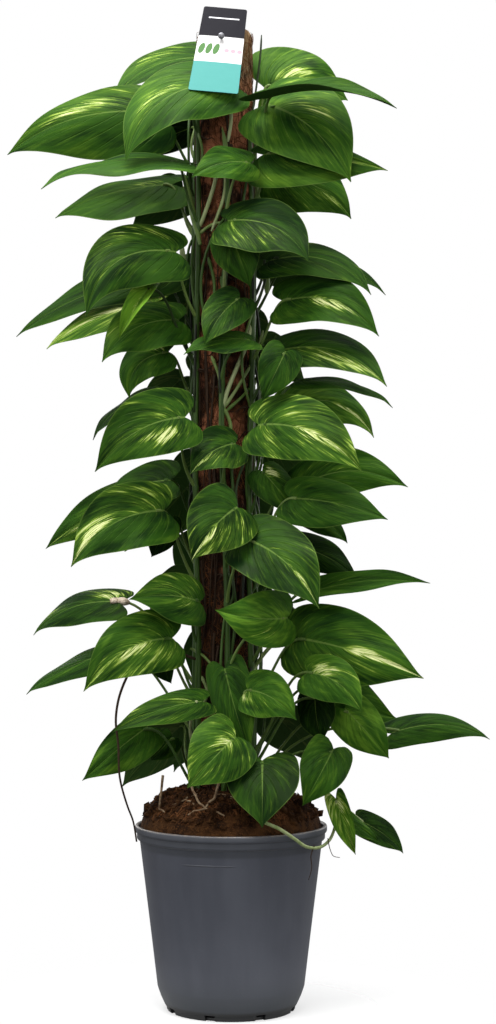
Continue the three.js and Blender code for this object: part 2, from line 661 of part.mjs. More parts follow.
// The label is drawn lying in the XY plane with its pin hole at the origin
function labelGeometry() {
  const top = LABEL_HOLE_DROP;
  const bottom = LABEL_HOLE_DROP - LABEL_HEIGHT;
  const outline = new THREE.Shape();
  outline.moveTo(-LABEL_BOTTOM_WIDTH / 2, bottom);
  outline.lineTo(LABEL_BOTTOM_WIDTH / 2, bottom);
  outline.lineTo(LABEL_TOP_WIDTH / 2, top);
  outline.lineTo(-LABEL_TOP_WIDTH / 2, top);
  outline.closePath();
  const hole = new THREE.Path();
  hole.absarc(0, 0, LABEL_HOLE_RADIUS, 0, 2 * Math.PI, true);
  outline.holes.push(hole);
  const options = { depth: LABEL_THICKNESS, bevelEnabled: false, curveSegments: 10 };
  const geometry = new THREE.ExtrudeGeometry(outline, options);
  geometry.translate(0, 0, -LABEL_THICKNESS / 2);
  return geometry;
}

function pinGeometry() {
  const profile = [
    [0, 0], [PIN_RADIUS, 0], [PIN_RADIUS, PIN_LENGTH], [PIN_HEAD_RADIUS, PIN_LENGTH],
    [PIN_HEAD_RADIUS, PIN_LENGTH + PIN_HEAD_THICKNESS], [0, PIN_LENGTH + PIN_HEAD_THICKNESS],
  ];
  return new THREE.LatheGeometry(profile.map(([r, z]) => new THREE.Vector2(r, z)), 12);
}

function labelSamples(label) {
  label.updateWorldMatrix(true, false);
  const points = [];
  for (let x = -LABEL_BOTTOM_WIDTH / 2; x <= LABEL_BOTTOM_WIDTH / 2; x += LABEL_BOTTOM_WIDTH / 6) {
    for (let y = LABEL_HOLE_DROP - LABEL_HEIGHT; y <= 0; y += SETTLE_NEAR) {
      points.push(label.localToWorld(xyz(x, y, 0)));
    }
  }
  return points;
}

function mesh(name, geometry, color, roughness, metalness = 0) {
  const material = new THREE.MeshStandardMaterial({ color, roughness, metalness });
  const node = new THREE.Mesh(geometry, material);
  node.name = name;
  return node;
}

const plant = new THREE.Group();
plant.add(mesh('pot', geometryOf(potSolid()), 0x484c56, 0.45));
plant.add(mesh('soil', geometryOf(soilSolid()), 0x46230f, 0.95));
plant.add(mesh('pole_core', geometryOf(poleCoreSolid()), 0x8a8f8c, 0.5));
plant.add(mesh('pole_coir', geometryOf(poleSleeveSolid()), 0x5a3320, 0.95));

// The pin goes straight into the front of the pole, and the label hangs on it
const labelHang = new THREE.Group();
labelHang.position.set(PIN_ACROSS, POLE_Y - POLE_RADIUS, PIN_HEIGHT);
const pin = mesh('label_pin', pinGeometry(), 0xb8bcc0, 0.35, 1);
pin.rotation.x = Math.PI;
pin.position.y = PIN_DEPTH;
labelHang.add(pin);
const label = mesh('plant_label', labelGeometry(), 0xf2f4f3, 0.4);
label.rotation.set(rad(90 - LABEL_LEAN), 0, rad(-LABEL_TILT));
label.position.y = -LABEL_STANDOFF;
labelHang.add(label);
plant.add(labelHang);

const draw = seededDraws(SEED);
const plants = VINES.map((vine) => ({
  vine,
  frames: [
    ...vine.leaves.map((row) => leafFrame(vine.fan, row)),
    ...farLeaves(vine, draw).map((row) => leafFrame(0, row)),
  ],
}));
const runner = { vine: RUNNER_VINE, frames: RUNNER_LEAVES.map((row) => leafFrame(0, row)) };
settle([...plants, runner], labelSamples(label));
for (const one of plants) {
  plant.add(mesh(one.vine.name, geometryOf(vineSolid(one)), 0x2c5f1c, 0.35));
}
plant.add(mesh(RUNNER_VINE.name, geometryOf(runnerSolid(runner.frames)), 0x53732f, 0.4));

export default plant;
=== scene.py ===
from copy import copy

import bmesh
import bpy
import numpy as np
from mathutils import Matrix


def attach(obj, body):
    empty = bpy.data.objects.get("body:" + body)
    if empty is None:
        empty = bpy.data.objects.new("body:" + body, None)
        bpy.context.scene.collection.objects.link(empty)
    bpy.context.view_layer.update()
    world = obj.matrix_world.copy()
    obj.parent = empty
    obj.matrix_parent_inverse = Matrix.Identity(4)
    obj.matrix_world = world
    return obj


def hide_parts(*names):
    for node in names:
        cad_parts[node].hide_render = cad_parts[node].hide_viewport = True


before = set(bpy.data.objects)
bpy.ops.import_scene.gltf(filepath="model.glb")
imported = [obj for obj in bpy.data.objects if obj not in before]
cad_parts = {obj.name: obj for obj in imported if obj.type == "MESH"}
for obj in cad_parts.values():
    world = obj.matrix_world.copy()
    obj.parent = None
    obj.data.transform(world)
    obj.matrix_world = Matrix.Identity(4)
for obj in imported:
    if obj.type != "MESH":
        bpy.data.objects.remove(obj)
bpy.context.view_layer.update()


# Studio: a white floor and white surroundings, a wide soft light overhead and softer ones all
# round, and the camera level with the middle of the plant, where the photograph was taken.
MM = 0.001
EYE_DISTANCE = 2600
EYE_HEIGHT = 570
IMAGE_WIDTH = 496
IMAGE_HEIGHT = 1024
PIXEL = 1.25
ORIGIN_COLUMN = 231
FLOOR_ROW = 1008

camera = bpy.data.objects.new("camera", bpy.data.cameras.new("camera"))
camera.location = (0, -EYE_DISTANCE * MM, EYE_HEIGHT * MM)
camera.rotation_euler = (np.pi / 2, 0, 0)
camera.data.sensor_width = 36
camera.data.lens = 36 * EYE_DISTANCE / (IMAGE_HEIGHT * PIXEL)
camera.data.shift_x = (IMAGE_WIDTH / 2 - ORIGIN_COLUMN) / IMAGE_HEIGHT
camera.data.shift_y = (FLOOR_ROW - EYE_HEIGHT / PIXEL - IMAGE_HEIGHT / 2) / IMAGE_HEIGHT
bpy.context.scene.collection.objects.link(camera)
bpy.context.scene.camera = camera
bpy.context.scene.view_settings.view_transform = "Standard"


class Wire:
    """A number that changes over a surface. Sums and products of wires add Math nodes."""

    def __init__(self, nodes, socket):
        self.nodes = nodes
        self.socket = socket

    def math(self, operation, first, second=0.0):
        return self.nodes.add("ShaderNodeMath", {"operation": operation}, {0: first, 1: second})

    def __add__(self, other):
        return self.math("ADD", self, other)

    def __sub__(self, other):
        return self.math("SUBTRACT", self, other)

    def __rsub__(self, other):
        return self.math("SUBTRACT", other, self)

    def __mul__(self, other):
        return self.math("MULTIPLY", self, other)

    def __truediv__(self, other):
        return self.math("DIVIDE", self, other)

    def __pow__(self, other):
        return self.math("POWER", self, other)

    __radd__ = __add__
    __rmul__ = __mul__

    def above(self, low, high):
        """0 under low, 1 over high and a smooth slope between, where low and high may be wires."""
        return self.nodes.add(
            "ShaderNodeMapRange", {"interpolation_type": "SMOOTHSTEP"},
            {"Value": self, "From Min": low, "From Max": high},
        )

    def parts(self):
        """The three numbers of a vector as wires."""
        split = self.nodes.add("ShaderNodeSeparateXYZ", {}, {"Vector": self})
        return [Wire(self.nodes, out) for out in split.socket.node.outputs]


class Nodes:
    """A tree of shader nodes, which are added by their type, their settings and their sockets."""

    def __init__(self, tree):
        self.tree = tree

    def add(self, kind, settings, sockets, output=0):
        node = self.tree.nodes.new(kind)
        for key, value in settings.items():
            setattr(node, key, value)
        for key, value in sockets.items():
            self.plug(node.inputs[key], value)
        return Wire(self, node.outputs[output])

    def plug(self, socket, value):
        if isinstance(value, Wire):
            self.tree.links.new(value.socket, socket)
        elif isinstance(value, tuple) and len(value) == 3 and socket.type == "RGBA":
            socket.default_value = (*value, 1)
        else:
            socket.default_value = value

    def spot(self):
        """The object's own coordinates in metres."""
        return self.add("ShaderNodeTexCoord", {}, {}, "Object")

    def noise(self, where, scale, detail=3.0, roughness=0.55):
        sockets = {"Vector": where, "Scale": scale, "Detail": detail, "Roughness": roughness}
        return self.add("ShaderNodeTexNoise", {}, sockets, "Fac")

    def mottle(self, scale, detail=3.0, roughness=0.55, stretch=(1, 1, 1)):
        """Noise with so many cells a metre in the object's own coordinates."""
        where = self.add("ShaderNodeMapping", {}, {"Vector": self.spot(), "Scale": stretch})
        return self.noise(where, scale, detail, roughness)

    def mix(self, share, first, second):
        """The first colour where share is 0, the second where it is 1."""
        sockets = {"Factor": share, 6: first, 7: second}
        return self.add("ShaderNodeMix", {"data_type": "RGBA"}, sockets, 2)


class Paint(Nodes):
    """The nodes of one material, and its colour so far."""

    def __init__(self, name, colour=None):
        self.material = bpy.data.materials.new(name)
        self.material.use_nodes = True
        super().__init__(self.material.node_tree)
        self.shader = self.tree.nodes["Principled BSDF"]
        self.colour = colour

    def over(self, share, colour):
        """The colour is laid over what is there, where share is 1."""
        self.colour = self.mix(share, self.colour, colour)

    def under(self, share, colour):
        """The colour shows where share is 0."""
        self.colour = self.mix(share, colour, self.colour)

    def finish(self, roughness, bump=None, depth=0.001, **constants):
        """Feeds the shader; bump is a height from 0 to 1, and depth what 1 stands for in metres."""
        self.plug(self.shader.inputs["Base Color"], self.colour)
        self.plug(self.shader.inputs["Roughness"], roughness)
        if bump is not None:
            normal = self.add("ShaderNodeBump", {}, {"Height": bump, "Distance": depth}, "Normal")
            self.plug(self.shader.inputs["Normal"], normal)
        for key, value in constants.items():
            self.plug(self.shader.inputs[key.replace("_", " ")], value)
        return self.material


def grid_quads(rows, columns, closed=False):
    """Corner numbers of the cells of a grid of points; closed joins its last column to its first."""
    number = np.arange(rows * columns).reshape(rows, columns)
    if closed:
        number = np.hstack([number, number[:, :1]])
    low, high = number[:-1], number[1:]
    return np.stack([low[:, :-1], low[:, 1:], high[:, 1:], high[:, :-1]], -1).reshape(-1, 4)


def copies(faces, count, corners):
    """The same faces for each of count copies, whose corners follow each other."""
    return (faces[None] + corners * np.arange(count)[:, None, None]).reshape(-1, faces.shape[1])


def mesh_object(name, shape, material=None, sharp=180):
    """A smooth mesh with edges over sharp degrees left crisp. A shape is its points in millimetres
    and the corner numbers of its quads, and of its triangles if it has any."""
    points, *faces = shape
    points = points.reshape(-1, 3)
    mesh = bpy.data.meshes.new(name)
    mesh.vertices.add(len(points))
    mesh.vertices.foreach_set("co", (points * MM).astype(np.float32).ravel())
    corners = np.concatenate([part.ravel() for part in faces]).astype(np.int32)
    sides = np.concatenate([np.full(len(part), part.shape[1]) for part in faces])
    mesh.loops.add(len(corners))
    mesh.loops.foreach_set("vertex_index", corners)
    mesh.polygons.add(len(sides))
    mesh.polygons.foreach_set("loop_start", (np.cumsum(sides) - sides).astype(np.int32))
    mesh.polygons.foreach_set("use_smooth", np.ones(len(sides), bool))
    mesh.update(calc_edges=True)
    mesh.set_sharp_from_angle(angle=np.radians(sharp))
    if material is not None:
        mesh.materials.append(material)
    thing = bpy.data.objects.new(name, mesh)
    bpy.context.scene.collection.objects.link(thing)
    return thing


# The floor fades out round the plant's faint shadow
FLOOR_REACH = 700
FLOOR_SHOWS = 0.4
FLOOR_FADE = (0.09, 0.34)
floor_paint = Paint("floor_white", (0.9, 0.9, 0.9))
floor_x, floor_y, _ = floor_paint.spot().parts()
floor_out = (floor_x * floor_x + floor_y * floor_y) ** 0.5
floor_white = floor_paint.finish(
    0.7, Specular_IOR_Level=0.0, Alpha=FLOOR_SHOWS - FLOOR_SHOWS * floor_out.above(*FLOOR_FADE))
floor_corners = FLOOR_REACH * np.array([[-1, -1, 0], [1, -1, 0], [1, 1, 0], [-1, 1, 0]], float)
floor = mesh_object("floor", (floor_corners, np.array([[0, 1, 2, 3]])), floor_white)

# Each light's place in metres, its size and its power. All of them aim at the middle of the plant.
LIGHT_AIM = (0, 0, 0.6)
LIGHTS = {
    "overhead": [(-0.3, -0.7, 3.2), 1.6, 132],
    "front": [(1.4, -3.4, 1.6), 1.8, 26],
    "front_left": [(-2.2, -2.8, 1.3), 1.8, 22],
    "left": [(-3.4, 0.3, 1.5), 1.8, 20],
    "right": [(3.4, 0.3, 1.5), 1.8, 22],
    "back": [(-1.2, 3.4, 1.6), 1.8, 30],
    "back_right": [(2.2, 2.8, 1.4), 1.8, 20],
}
for name, (place, size, power) in LIGHTS.items():
    lamp = bpy.data.objects.new(name, bpy.data.lights.new(name, "AREA"))
    lamp.data.size = size
    lamp.data.energy = power
    lamp.location = place
    x, y, z = np.subtract(place, LIGHT_AIM)
    lamp.rotation_euler = (np.arctan2(np.hypot(x, y), z), 0, np.arctan2(x, -y))
    bpy.context.scene.collection.objects.link(lamp)

WHITE_SEEN = 1.0
LIGHT_FROM_BELOW = 0.16
LIGHT_FROM_ABOVE = 0.85
world = bpy.data.worlds.new("studio")
world.use_nodes = True
bpy.context.scene.world = world
sky = Nodes(world.node_tree)
_, _, sky_up = sky.add("ShaderNodeTexCoord", {}, {}, "Generated").parts()
sky_light = LIGHT_FROM_BELOW + (LIGHT_FROM_ABOVE - LIGHT_FROM_BELOW) * sky_up.above(-0.5, 1.0)
straight = sky.add("ShaderNodeLightPath", {}, {}, "Is Camera Ray")
sky_shader = world.node_tree.nodes["Background"]
sky_shader.inputs["Color"].default_value = (1, 1, 1, 1)
sky.plug(sky_shader.inputs["Strength"], sky_light + (WHITE_SEEN - sky_light) * straight)


# Pot: one thin moulded shell of slate-grey plastic, with a rolled lip, a plain band
# under it, a stepped foot and drain slots through the foot's edge. It takes the CAD pot's place.
POT_HEIGHT = 230
RIM_RADIUS = 120
LIP_HEIGHT = 8
BAND_HEIGHT = 9
BAND_RADIUS = 117.5
WALL_TOP_RADIUS = 114
WALL_FOOT_RADIUS = 93
SHOULDER_HEIGHT = 42
FOOT_RADIUS = 81
FOOT_RING_HEIGHT = 6
WALL = 2.4
DRAIN_COUNT = 8
DRAIN_WIDTH = 13
DRAIN_HEIGHT = 7.5
DRAIN_TURN = 4
LINE_HEIGHT = 193
POT_ROUNDING = 2.2
POT_SIDES = 168
POT_SHARP = 40
WELD_DISTANCE = 1e-6


def rounded(corners, radius, steps=5):
    """A profile with its corners rounded: near each one it follows the parabola that touches
    both sides at the given distance from the corner, or at 0.45 of a shorter side."""
    corners = np.asarray(corners, float)
    parts = [corners[:1]]
    share = np.linspace(0, 1, steps)[:, None]
    for before, corner, after in zip(corners[:-2], corners[1:-1], corners[2:]):
        reach = [min(radius / np.linalg.norm(end - corner), 0.45) for end in (before, after)]
        start = corner + (before - corner) * reach[0]
        finish = corner + (after - corner) * reach[1]
        parts.append(start * (1 - share) ** 2 + 2 * corner * share * (1 - share) + finish * share ** 2)
    return np.concatenate([*parts, corners[-1:]])


def polar(radius, angle, height, x=0.0, y=0.0):
    """Points round the upright line through (x, y), by radius, angle and height."""
    radius, angle, height = np.broadcast_arrays(radius, angle, height)
    return np.stack([x + radius * np.cos(angle), y + radius * np.sin(angle), height], -1)


def turned(profile, sides, x=0.0, y=0.0):
    """Points of a surface turned round the upright line through (x, y), one ring for each
    point (radius, height) of the profile, and its quads, with faces out for a profile that
    runs up the outside."""
    angle = 2 * np.pi * np.arange(sides) / sides
    points = polar(profile[:, :1], angle, profile[:, 1:], x, y)
    return points, grid_quads(len(profile), sides, closed=True)


def welded(thing):
    """The object with points that lie together made one, as at a pole of a turned shape."""
    cleaner = bmesh.new()
    cleaner.from_mesh(thing.data)
    bmesh.ops.remove_doubles(cleaner, verts=cleaner.verts, dist=WELD_DISTANCE)
    cleaner.to_mesh(thing.data)
    cleaner.free()
    return thing


def ride(thing, slot, *nodes):
    """The piece stands on the plant's one body and stands for its CAD nodes, which are hidden."""
    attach(thing, "root")
    if nodes:
        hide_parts(*nodes)
    return thing


band_bottom = POT_HEIGHT - LIP_HEIGHT - BAND_HEIGHT
pot_profile = rounded([
    [0, 1.2], [FOOT_RADIUS - 9, 1.2], [FOOT_RADIUS - 7, 0], [FOOT_RADIUS - 1, 0],
    [FOOT_RADIUS - 0.5, FOOT_RING_HEIGHT - 1], [FOOT_RADIUS + 1.5, FOOT_RING_HEIGHT + 1],
    [FOOT_RADIUS + 7, 19], [WALL_FOOT_RADIUS - 1.2, 30],
    [WALL_FOOT_RADIUS + 1.4, SHOULDER_HEIGHT + 10], [WALL_FOOT_RADIUS + 6.3, 93],
    [WALL_TOP_RADIUS, band_bottom - 1], [BAND_RADIUS, band_bottom],
    [BAND_RADIUS, POT_HEIGHT - LIP_HEIGHT], [RIM_RADIUS, POT_HEIGHT - LIP_HEIGHT],
    [RIM_RADIUS, POT_HEIGHT], [WALL_TOP_RADIUS + 1, POT_HEIGHT],
    [WALL_TOP_RADIUS - WALL, band_bottom], [WALL_FOOT_RADIUS - WALL, SHOULDER_HEIGHT],
    [FOOT_RADIUS + 4.5, 22], [FOOT_RADIUS - 4, WALL + 1.2], [0, WALL + 1.2],
], POT_ROUNDING)

pot_paint = Paint("slate_plastic")
pot_flow = pot_paint.mottle(30, 3, stretch=(1, 1, 0.12))
pot_dust = pot_paint.mottle(260, 4, 0.7)
pot_cloud = (0.5 * pot_paint.mottle(9, 3) + 0.5 * pot_flow).above(0.35, 0.65)
pot_paint.colour = pot_paint.mix(pot_cloud, (0.046, 0.051, 0.068), (0.064, 0.070, 0.090))
pot_paint.over(pot_dust.above(0.62, 0.8) * 0.35, (0.16, 0.16, 0.17))
# Painted shade: the foot is darker where it turns down under the wall, nearly black at its edge under the
# overhang
pot_x, pot_y, pot_height = pot_paint.spot().parts()
pot_paint.under(pot_height.above(4 * MM, 60 * MM), (0.022, 0.028, 0.036))
pot_paint.under(pot_height.above(9 * MM, 13 * MM), (0.005, 0.006, 0.007))
# A thin moulded line on the front, below the rim: a low bump, with painted shade along it
off_line = pot_height - LINE_HEIGHT * MM
moulded = 1 - off_line.math("ABSOLUTE", off_line).above(0.3 * MM, 1.3 * MM)
moulded = moulded * pot_x.above(-62 * MM, -50 * MM) * (1 - pot_x.above(-2 * MM, 8 * MM))
moulded = moulded * (1 - pot_y.above(-20 * MM, 0))
pot_paint.over(moulded * 0.45, (0.020, 0.023, 0.030))
# The rim gets painted shade, as under the leaves, and its lip's top is worn and dusty, with a painted
# highlight in the same marks
rim_shade = pot_height.above((POT_HEIGHT - 29) * MM, (POT_HEIGHT - 25) * MM)
pot_paint.over(rim_shade * 0.5, (0.024, 0.028, 0.034))
lip_wear_and_highlight = pot_height.above((POT_HEIGHT - 1.6) * MM, (POT_HEIGHT - 0.4) * MM)
pot_paint.over(lip_wear_and_highlight * pot_dust.above(0.35, 0.6) * 0.7, (0.20, 0.16, 0.12))
slate_plastic = pot_paint.finish(
    0.38 + 0.16 * pot_flow, pot_flow * 0.5 + pot_dust * 0.08 + moulded * 0.3, 1.0 * MM,
    Specular_IOR_Level=0.75)
pot = welded(mesh_object("pot_shell", turned(pot_profile, POT_SIDES), slate_plastic, POT_SHARP))

# Drain slots are cut out of the foot's edge by boxes
slot_box = np.array([
    [x, y, z]
    for x in (FOOT_RADIUS - 6, FOOT_RADIUS + 8)
    for y in (-DRAIN_WIDTH / 2, DRAIN_WIDTH / 2)
    for z in (-3, DRAIN_HEIGHT)
])
box_quads = np.array([
    [0, 1, 3, 2], [4, 6, 7, 5], [0, 4, 5, 1], [2, 3, 7, 6], [0, 2, 6, 4], [1, 5, 7, 3],
])
slot_turn = 2 * np.pi * (np.arange(DRAIN_COUNT) + 0.5) / DRAIN_COUNT + np.radians(DRAIN_TURN)
slot_cos, slot_sin = np.cos(slot_turn)[:, None], np.sin(slot_turn)[:, None]
slot_points = np.stack([
    slot_box[:, 0] * slot_cos - slot_box[:, 1] * slot_sin,
    slot_box[:, 0] * slot_sin + slot_box[:, 1] * slot_cos,
    slot_box[:, 2] + 0 * slot_cos,
], -1)
slots = mesh_object("drain_slots", (slot_points, copies(box_quads, DRAIN_COUNT, len(slot_box))))
boolean = pot.modifiers.new("cut", "BOOLEAN")
boolean.object = slots
boolean.solver = "EXACT"
pot_cut = pot.evaluated_get(bpy.context.evaluated_depsgraph_get())
pot.data = bpy.data.meshes.new_from_object(pot_cut)
pot.modifiers.clear()
bpy.data.objects.remove(slots)
pot.data.set_sharp_from_angle(angle=np.radians(POT_SHARP))
ride(pot, "pot", "pot")


# Potting mix: moist reddish-brown coir and peat, heaped over the rim round the pole, with loose
# crumbs and fibres on it. One closed heap fills the pot where the CAD soil is.
SOIL_SIDES = 150
SOIL_RINGS = 60
FILL_HEIGHT = 150
HEAP_RADII = [0, 44, 66, 86, 98, 106, 111, 113.6]
HEAP_HEIGHTS = [272, 272, 270, 264, 255, 246, 237, 225]


def bumps(x, y, z, size, seed, octaves=4):
    """Smooth random heights from about -1 to 1: sums of sine waves in random directions, each
    octave with half the size and 0.6 of the height of the one before."""
    draw = np.random.default_rng(seed)
    total = np.zeros(np.broadcast(x, y, z).shape)
    height = 1.0
    for _ in range(octaves):
        for _ in range(5):
            way = draw.normal(size=3)
            way *= 2 * np.pi / (size * np.linalg.norm(way))
            total += height * 0.35 * np.sin(x * way[0] + y * way[1] + z * way[2] + 6.3 * draw.random())
        size *= 0.5
        height *= 0.6
    return total


def heap_height(radius, angle):
    """The heap's top: nearly level round the pole, falling ever faster to the pot's wall, with
    lumps and a slope that is a little higher at the left."""
    fall = np.interp(radius, HEAP_RADII, HEAP_HEIGHTS)
    x, y = radius * np.cos(angle), radius * np.sin(angle)
    edge = np.clip((112 - radius) / 20, 0, 1)
    return fall + edge * (2.2 * bumps(x, y, 0, 45, 3) + 0.6 * bumps(x, y, 0, 8, 4) - 0.02 * x)


def on_heap(radius, angle, rise=0.0):
    """Points that lie on the heap, or rise over it."""
    return polar(radius, angle, heap_height(radius, angle) + rise)


soil_angle = 2 * np.pi * np.arange(SOIL_SIDES) / SOIL_SIDES
soil_radius = HEAP_RADII[-1] * (np.linspace(0, 1, SOIL_RINGS) ** 0.85)[::-1][:, None]
soil_skirt, _ = turned(np.array([[0, FILL_HEIGHT], [104.5, FILL_HEIGHT], [108, 190]]), SOIL_SIDES)
soil_points = np.concatenate([soil_skirt, on_heap(soil_radius, soil_angle)])
soil_paint = Paint("potting_mix")
soil_grain = soil_paint.mottle(420, 5, 0.7)
soil_patch = soil_paint.mottle(55, 4, 0.6).above(0.35, 0.65)
soil_paint.colour = soil_paint.mix(soil_patch, (0.012, 0.0045, 0.0015), (0.068, 0.029, 0.0095))
soil_paint.over(soil_grain.above(0.5, 0.75), (0.125, 0.050, 0.014))
potting_mix = soil_paint.finish(0.92, soil_grain, 4 * MM, Specular_IOR_Level=0.1)
soil_quads = grid_quads(len(soil_points), SOIL_SIDES, closed=True)
soil = mesh_object("soil_heap", (soil_points, soil_quads), potting_mix)
ride(welded(soil), "soil", "soil")


def even_draws(draw, count):
    """A function that draws evenly between two limits, once for each of count things."""
    return lambda low, high: draw.uniform(low, high, (count, 1))


def tubes(paths, radii, sides, flatten=1.0):
    """Closed tubes along paths of shape (tubes, points, 3), with a radius for each point of a
    path. Each ring is turned as little as it can be from the one before, and flatten squeezes
    it across its second axis."""
    ahead = np.gradient(paths, axis=1)
    ahead /= np.linalg.norm(ahead, axis=-1, keepdims=True)
    lead = np.eye(3)[np.argmin(np.abs(ahead[:, 0]), axis=-1)]
    across = []
    for step in range(paths.shape[1]):
        lead = lead - ahead[:, step] * np.sum(lead * ahead[:, step], -1, keepdims=True)
        lead = lead / np.linalg.norm(lead, axis=-1, keepdims=True)
        across.append(lead)
    across = np.stack(across, 1)[:, :, None]
    other = np.cross(ahead[:, :, None], across)
    angle = 2 * np.pi * np.arange(sides) / sides
    ring = across * np.cos(angle)[:, None] + flatten * other * np.sin(angle)[:, None]
    points = paths[:, :, None] + np.asarray(radii)[..., None, None] * ring
    count, steps = paths.shape[:2]
    corners = steps * sides + 2
    points = np.concatenate([points.reshape(count, -1, 3), paths[:, :1], paths[:, -1:]], 1)
    quads = copies(grid_quads(steps, sides, closed=True), count, corners)
    first = np.arange(sides)
    after = (first + 1) % sides
    last = (steps - 1) * sides
    caps = np.concatenate([
        np.stack([after, first, 0 * first + corners - 2], -1),
        np.stack([last + first, last + after, 0 * first + corners - 1], -1),
    ])
    return points, quads, copies(caps, count, corners)


def together(*parts):
    """Parts of (points, quads, triangles) as one."""
    points, quads, triangles = [], [], []
    start = 0
    for part_points, part_quads, part_triangles in parts:
        part_points = part_points.reshape(-1, 3)
        points.append(part_points)
        quads.append(part_quads + start)
        triangles.append(part_triangles + start)
        start += len(part_points)
    return np.concatenate(points), np.concatenate(quads), np.concatenate(triangles)


# Loose crumbs and coconut fibres that lie half sunk in the heap
soil_draw = np.random.default_rng(11)
CRUMBS = 1500
LOOSE_REACH = 109
crumb_radius = LOOSE_REACH * np.sqrt(soil_draw.uniform(0.12, 1, CRUMBS))
crumb_angle = soil_draw.uniform(0, 2 * np.pi, CRUMBS)
# A crumb starts as an icosahedron that is about 1 mm in radius
ICO_RADIUS = 1.9
golden = (1 + 5 ** 0.5) / 2
ico_points = np.array([
    [-1, golden, 0], [1, golden, 0], [-1, -golden, 0], [1, -golden, 0], [0, -1, golden], [0, 1, golden],
    [0, -1, -golden], [0, 1, -golden], [golden, 0, -1], [golden, 0, 1], [-golden, 0, -1], [-golden, 0, 1],
]) / ICO_RADIUS
ico_faces = np.array([
    [0, 11, 5], [0, 5, 1], [0, 1, 7], [0, 7, 10], [0, 10, 11], [1, 5, 9], [5, 11, 4], [11, 10, 2],
    [10, 7, 6], [7, 1, 8], [3, 9, 4], [3, 4, 2], [3, 2, 6], [3, 6, 8], [3, 8, 9], [4, 9, 5], [2, 4, 11],
    [6, 2, 10], [8, 6, 7], [9, 8, 1],
])
crumb_size = soil_draw.gamma(3.0, 0.75, (CRUMBS, 1, 1)) + 0.5
crumb_shape = ico_points * (1 + 0.35 * soil_draw.normal(size=(CRUMBS, 12, 1))) * crumb_size
crumb_shape *= soil_draw.uniform(0.5, 1.3, (CRUMBS, 1, 3))
crumb_points = crumb_shape + on_heap(crumb_radius, crumb_angle)[:, None]
crumbs = crumb_points, copies(ico_faces, CRUMBS, len(ico_points))
ride(mesh_object("soil_crumbs", crumbs, potting_mix), "soil")

FIBRES_ON_SOIL = 1300
fibre = even_draws(soil_draw, FIBRES_ON_SOIL)
fibre_radius = (LOOSE_REACH - 3) * np.sqrt(fibre(0.1, 1))
fibre_angle = fibre(0, 2 * np.pi)
fibre_turn = fibre(0, 2 * np.pi)
fibre_bend = soil_draw.normal(0, 0.05, (FIBRES_ON_SOIL, 1))
fibre_length = fibre(8, 34)
along = np.linspace(-0.5, 0.5, 6)
turn = fibre_turn + fibre_bend * fibre_length * along
fibre_x = fibre_radius * np.cos(fibre_angle) + fibre_length * along * np.cos(turn)
fibre_y = fibre_radius * np.sin(fibre_angle) + fibre_length * along * np.sin(turn)
fibre_rise = fibre(0, 2.4) * (1 - (2 * along) ** 2)
fibre_paths = on_heap(
    np.minimum(np.hypot(fibre_x, fibre_y), LOOSE_REACH), np.arctan2(fibre_y, fibre_x), fibre_rise)
fibre_thick = fibre(0.25, 0.7) * (1 - 0.5 * (2 * along) ** 2)
straw_paint = Paint("coir_strands")
straw_tint = straw_paint.mottle(38, 2).above(0.35, 0.65)
straw_paint.colour = straw_paint.mix(straw_tint, (0.022, 0.008, 0.003), (0.15, 0.058, 0.020))
coir_strands = straw_paint.finish(0.8, Specular_IOR_Level=0.1)
ride(mesh_object("soil_fibres", tubes(fibre_paths, fibre_thick, sides=3), coir_strands), "soil")


# Dry leaf stalks of fallen leaves, by their spots (across, depth, rise over the heap)
DRY_STALKS = [
    [[-50, -62, 30], [-47, -70, 14], [-40, -80, 3], [-26, -92, 1.5], [-8, -101, 1.0]],
    [[-84, -36, 34], [-86, -44, 18], [-88, -50, 4], [-80, -62, 1]],
    [[-14, -66, 20], [-20, -78, 6], [-32, -88, 1.5], [-52, -88, 1]],
]
LOOSE_STALKS = 16
DRY_STEPS = 16
dry_step = np.linspace(0, 1, DRY_STEPS)
dry_lines = []
for spots in DRY_STALKS:
    knots = np.linspace(0, 1, len(spots))
    dry_lines.append(np.stack([np.interp(dry_step, knots, column) for column in zip(*spots)], -1))
for _ in range(LOOSE_STALKS):
    angle, out = soil_draw.uniform(0, 2 * np.pi), soil_draw.uniform(55, 98)
    way = soil_draw.uniform(0, np.pi)
    reach = soil_draw.uniform(8, 22) * np.linspace(-1, 1, DRY_STEPS)[:, None]
    line = out * np.array([np.cos(angle), np.sin(angle)]) + reach * [np.cos(way), np.sin(way)]
    line = line + 0.01 * reach ** 2 * [-np.sin(way), np.cos(way)]
    dry_lines.append(np.hstack([line, np.full((DRY_STEPS, 1), 1.2)]))
dry_x, dry_y, dry_rise = np.moveaxis(np.array(dry_lines), -1, 0)
dry_paths = on_heap(
    np.minimum(np.hypot(dry_x, dry_y), LOOSE_REACH - 1), np.arctan2(dry_y, dry_x), dry_rise)
dry_paint = Paint("dry_stalk")
dry_grain = dry_paint.mottle(190, 3)
dry_paint.colour = dry_paint.mix(dry_grain.above(0.35, 0.65), (0.10, 0.055, 0.026), (0.24, 0.17, 0.10))
dry_stalk = dry_paint.finish(0.7, dry_grain, 0.8 * MM, Specular_IOR_Level=0.2)
dry_thick = np.where(np.arange(len(dry_lines)) < len(DRY_STALKS), 1.8, 1.2)
dry_radii = dry_thick[:, None] * np.linspace(1, 0.55, DRY_STEPS)
dry_tubes = tubes(dry_paths, dry_radii, sides=7)
ride(mesh_object("dry_stalks", dry_tubes, dry_stalk, sharp=60), "soil")


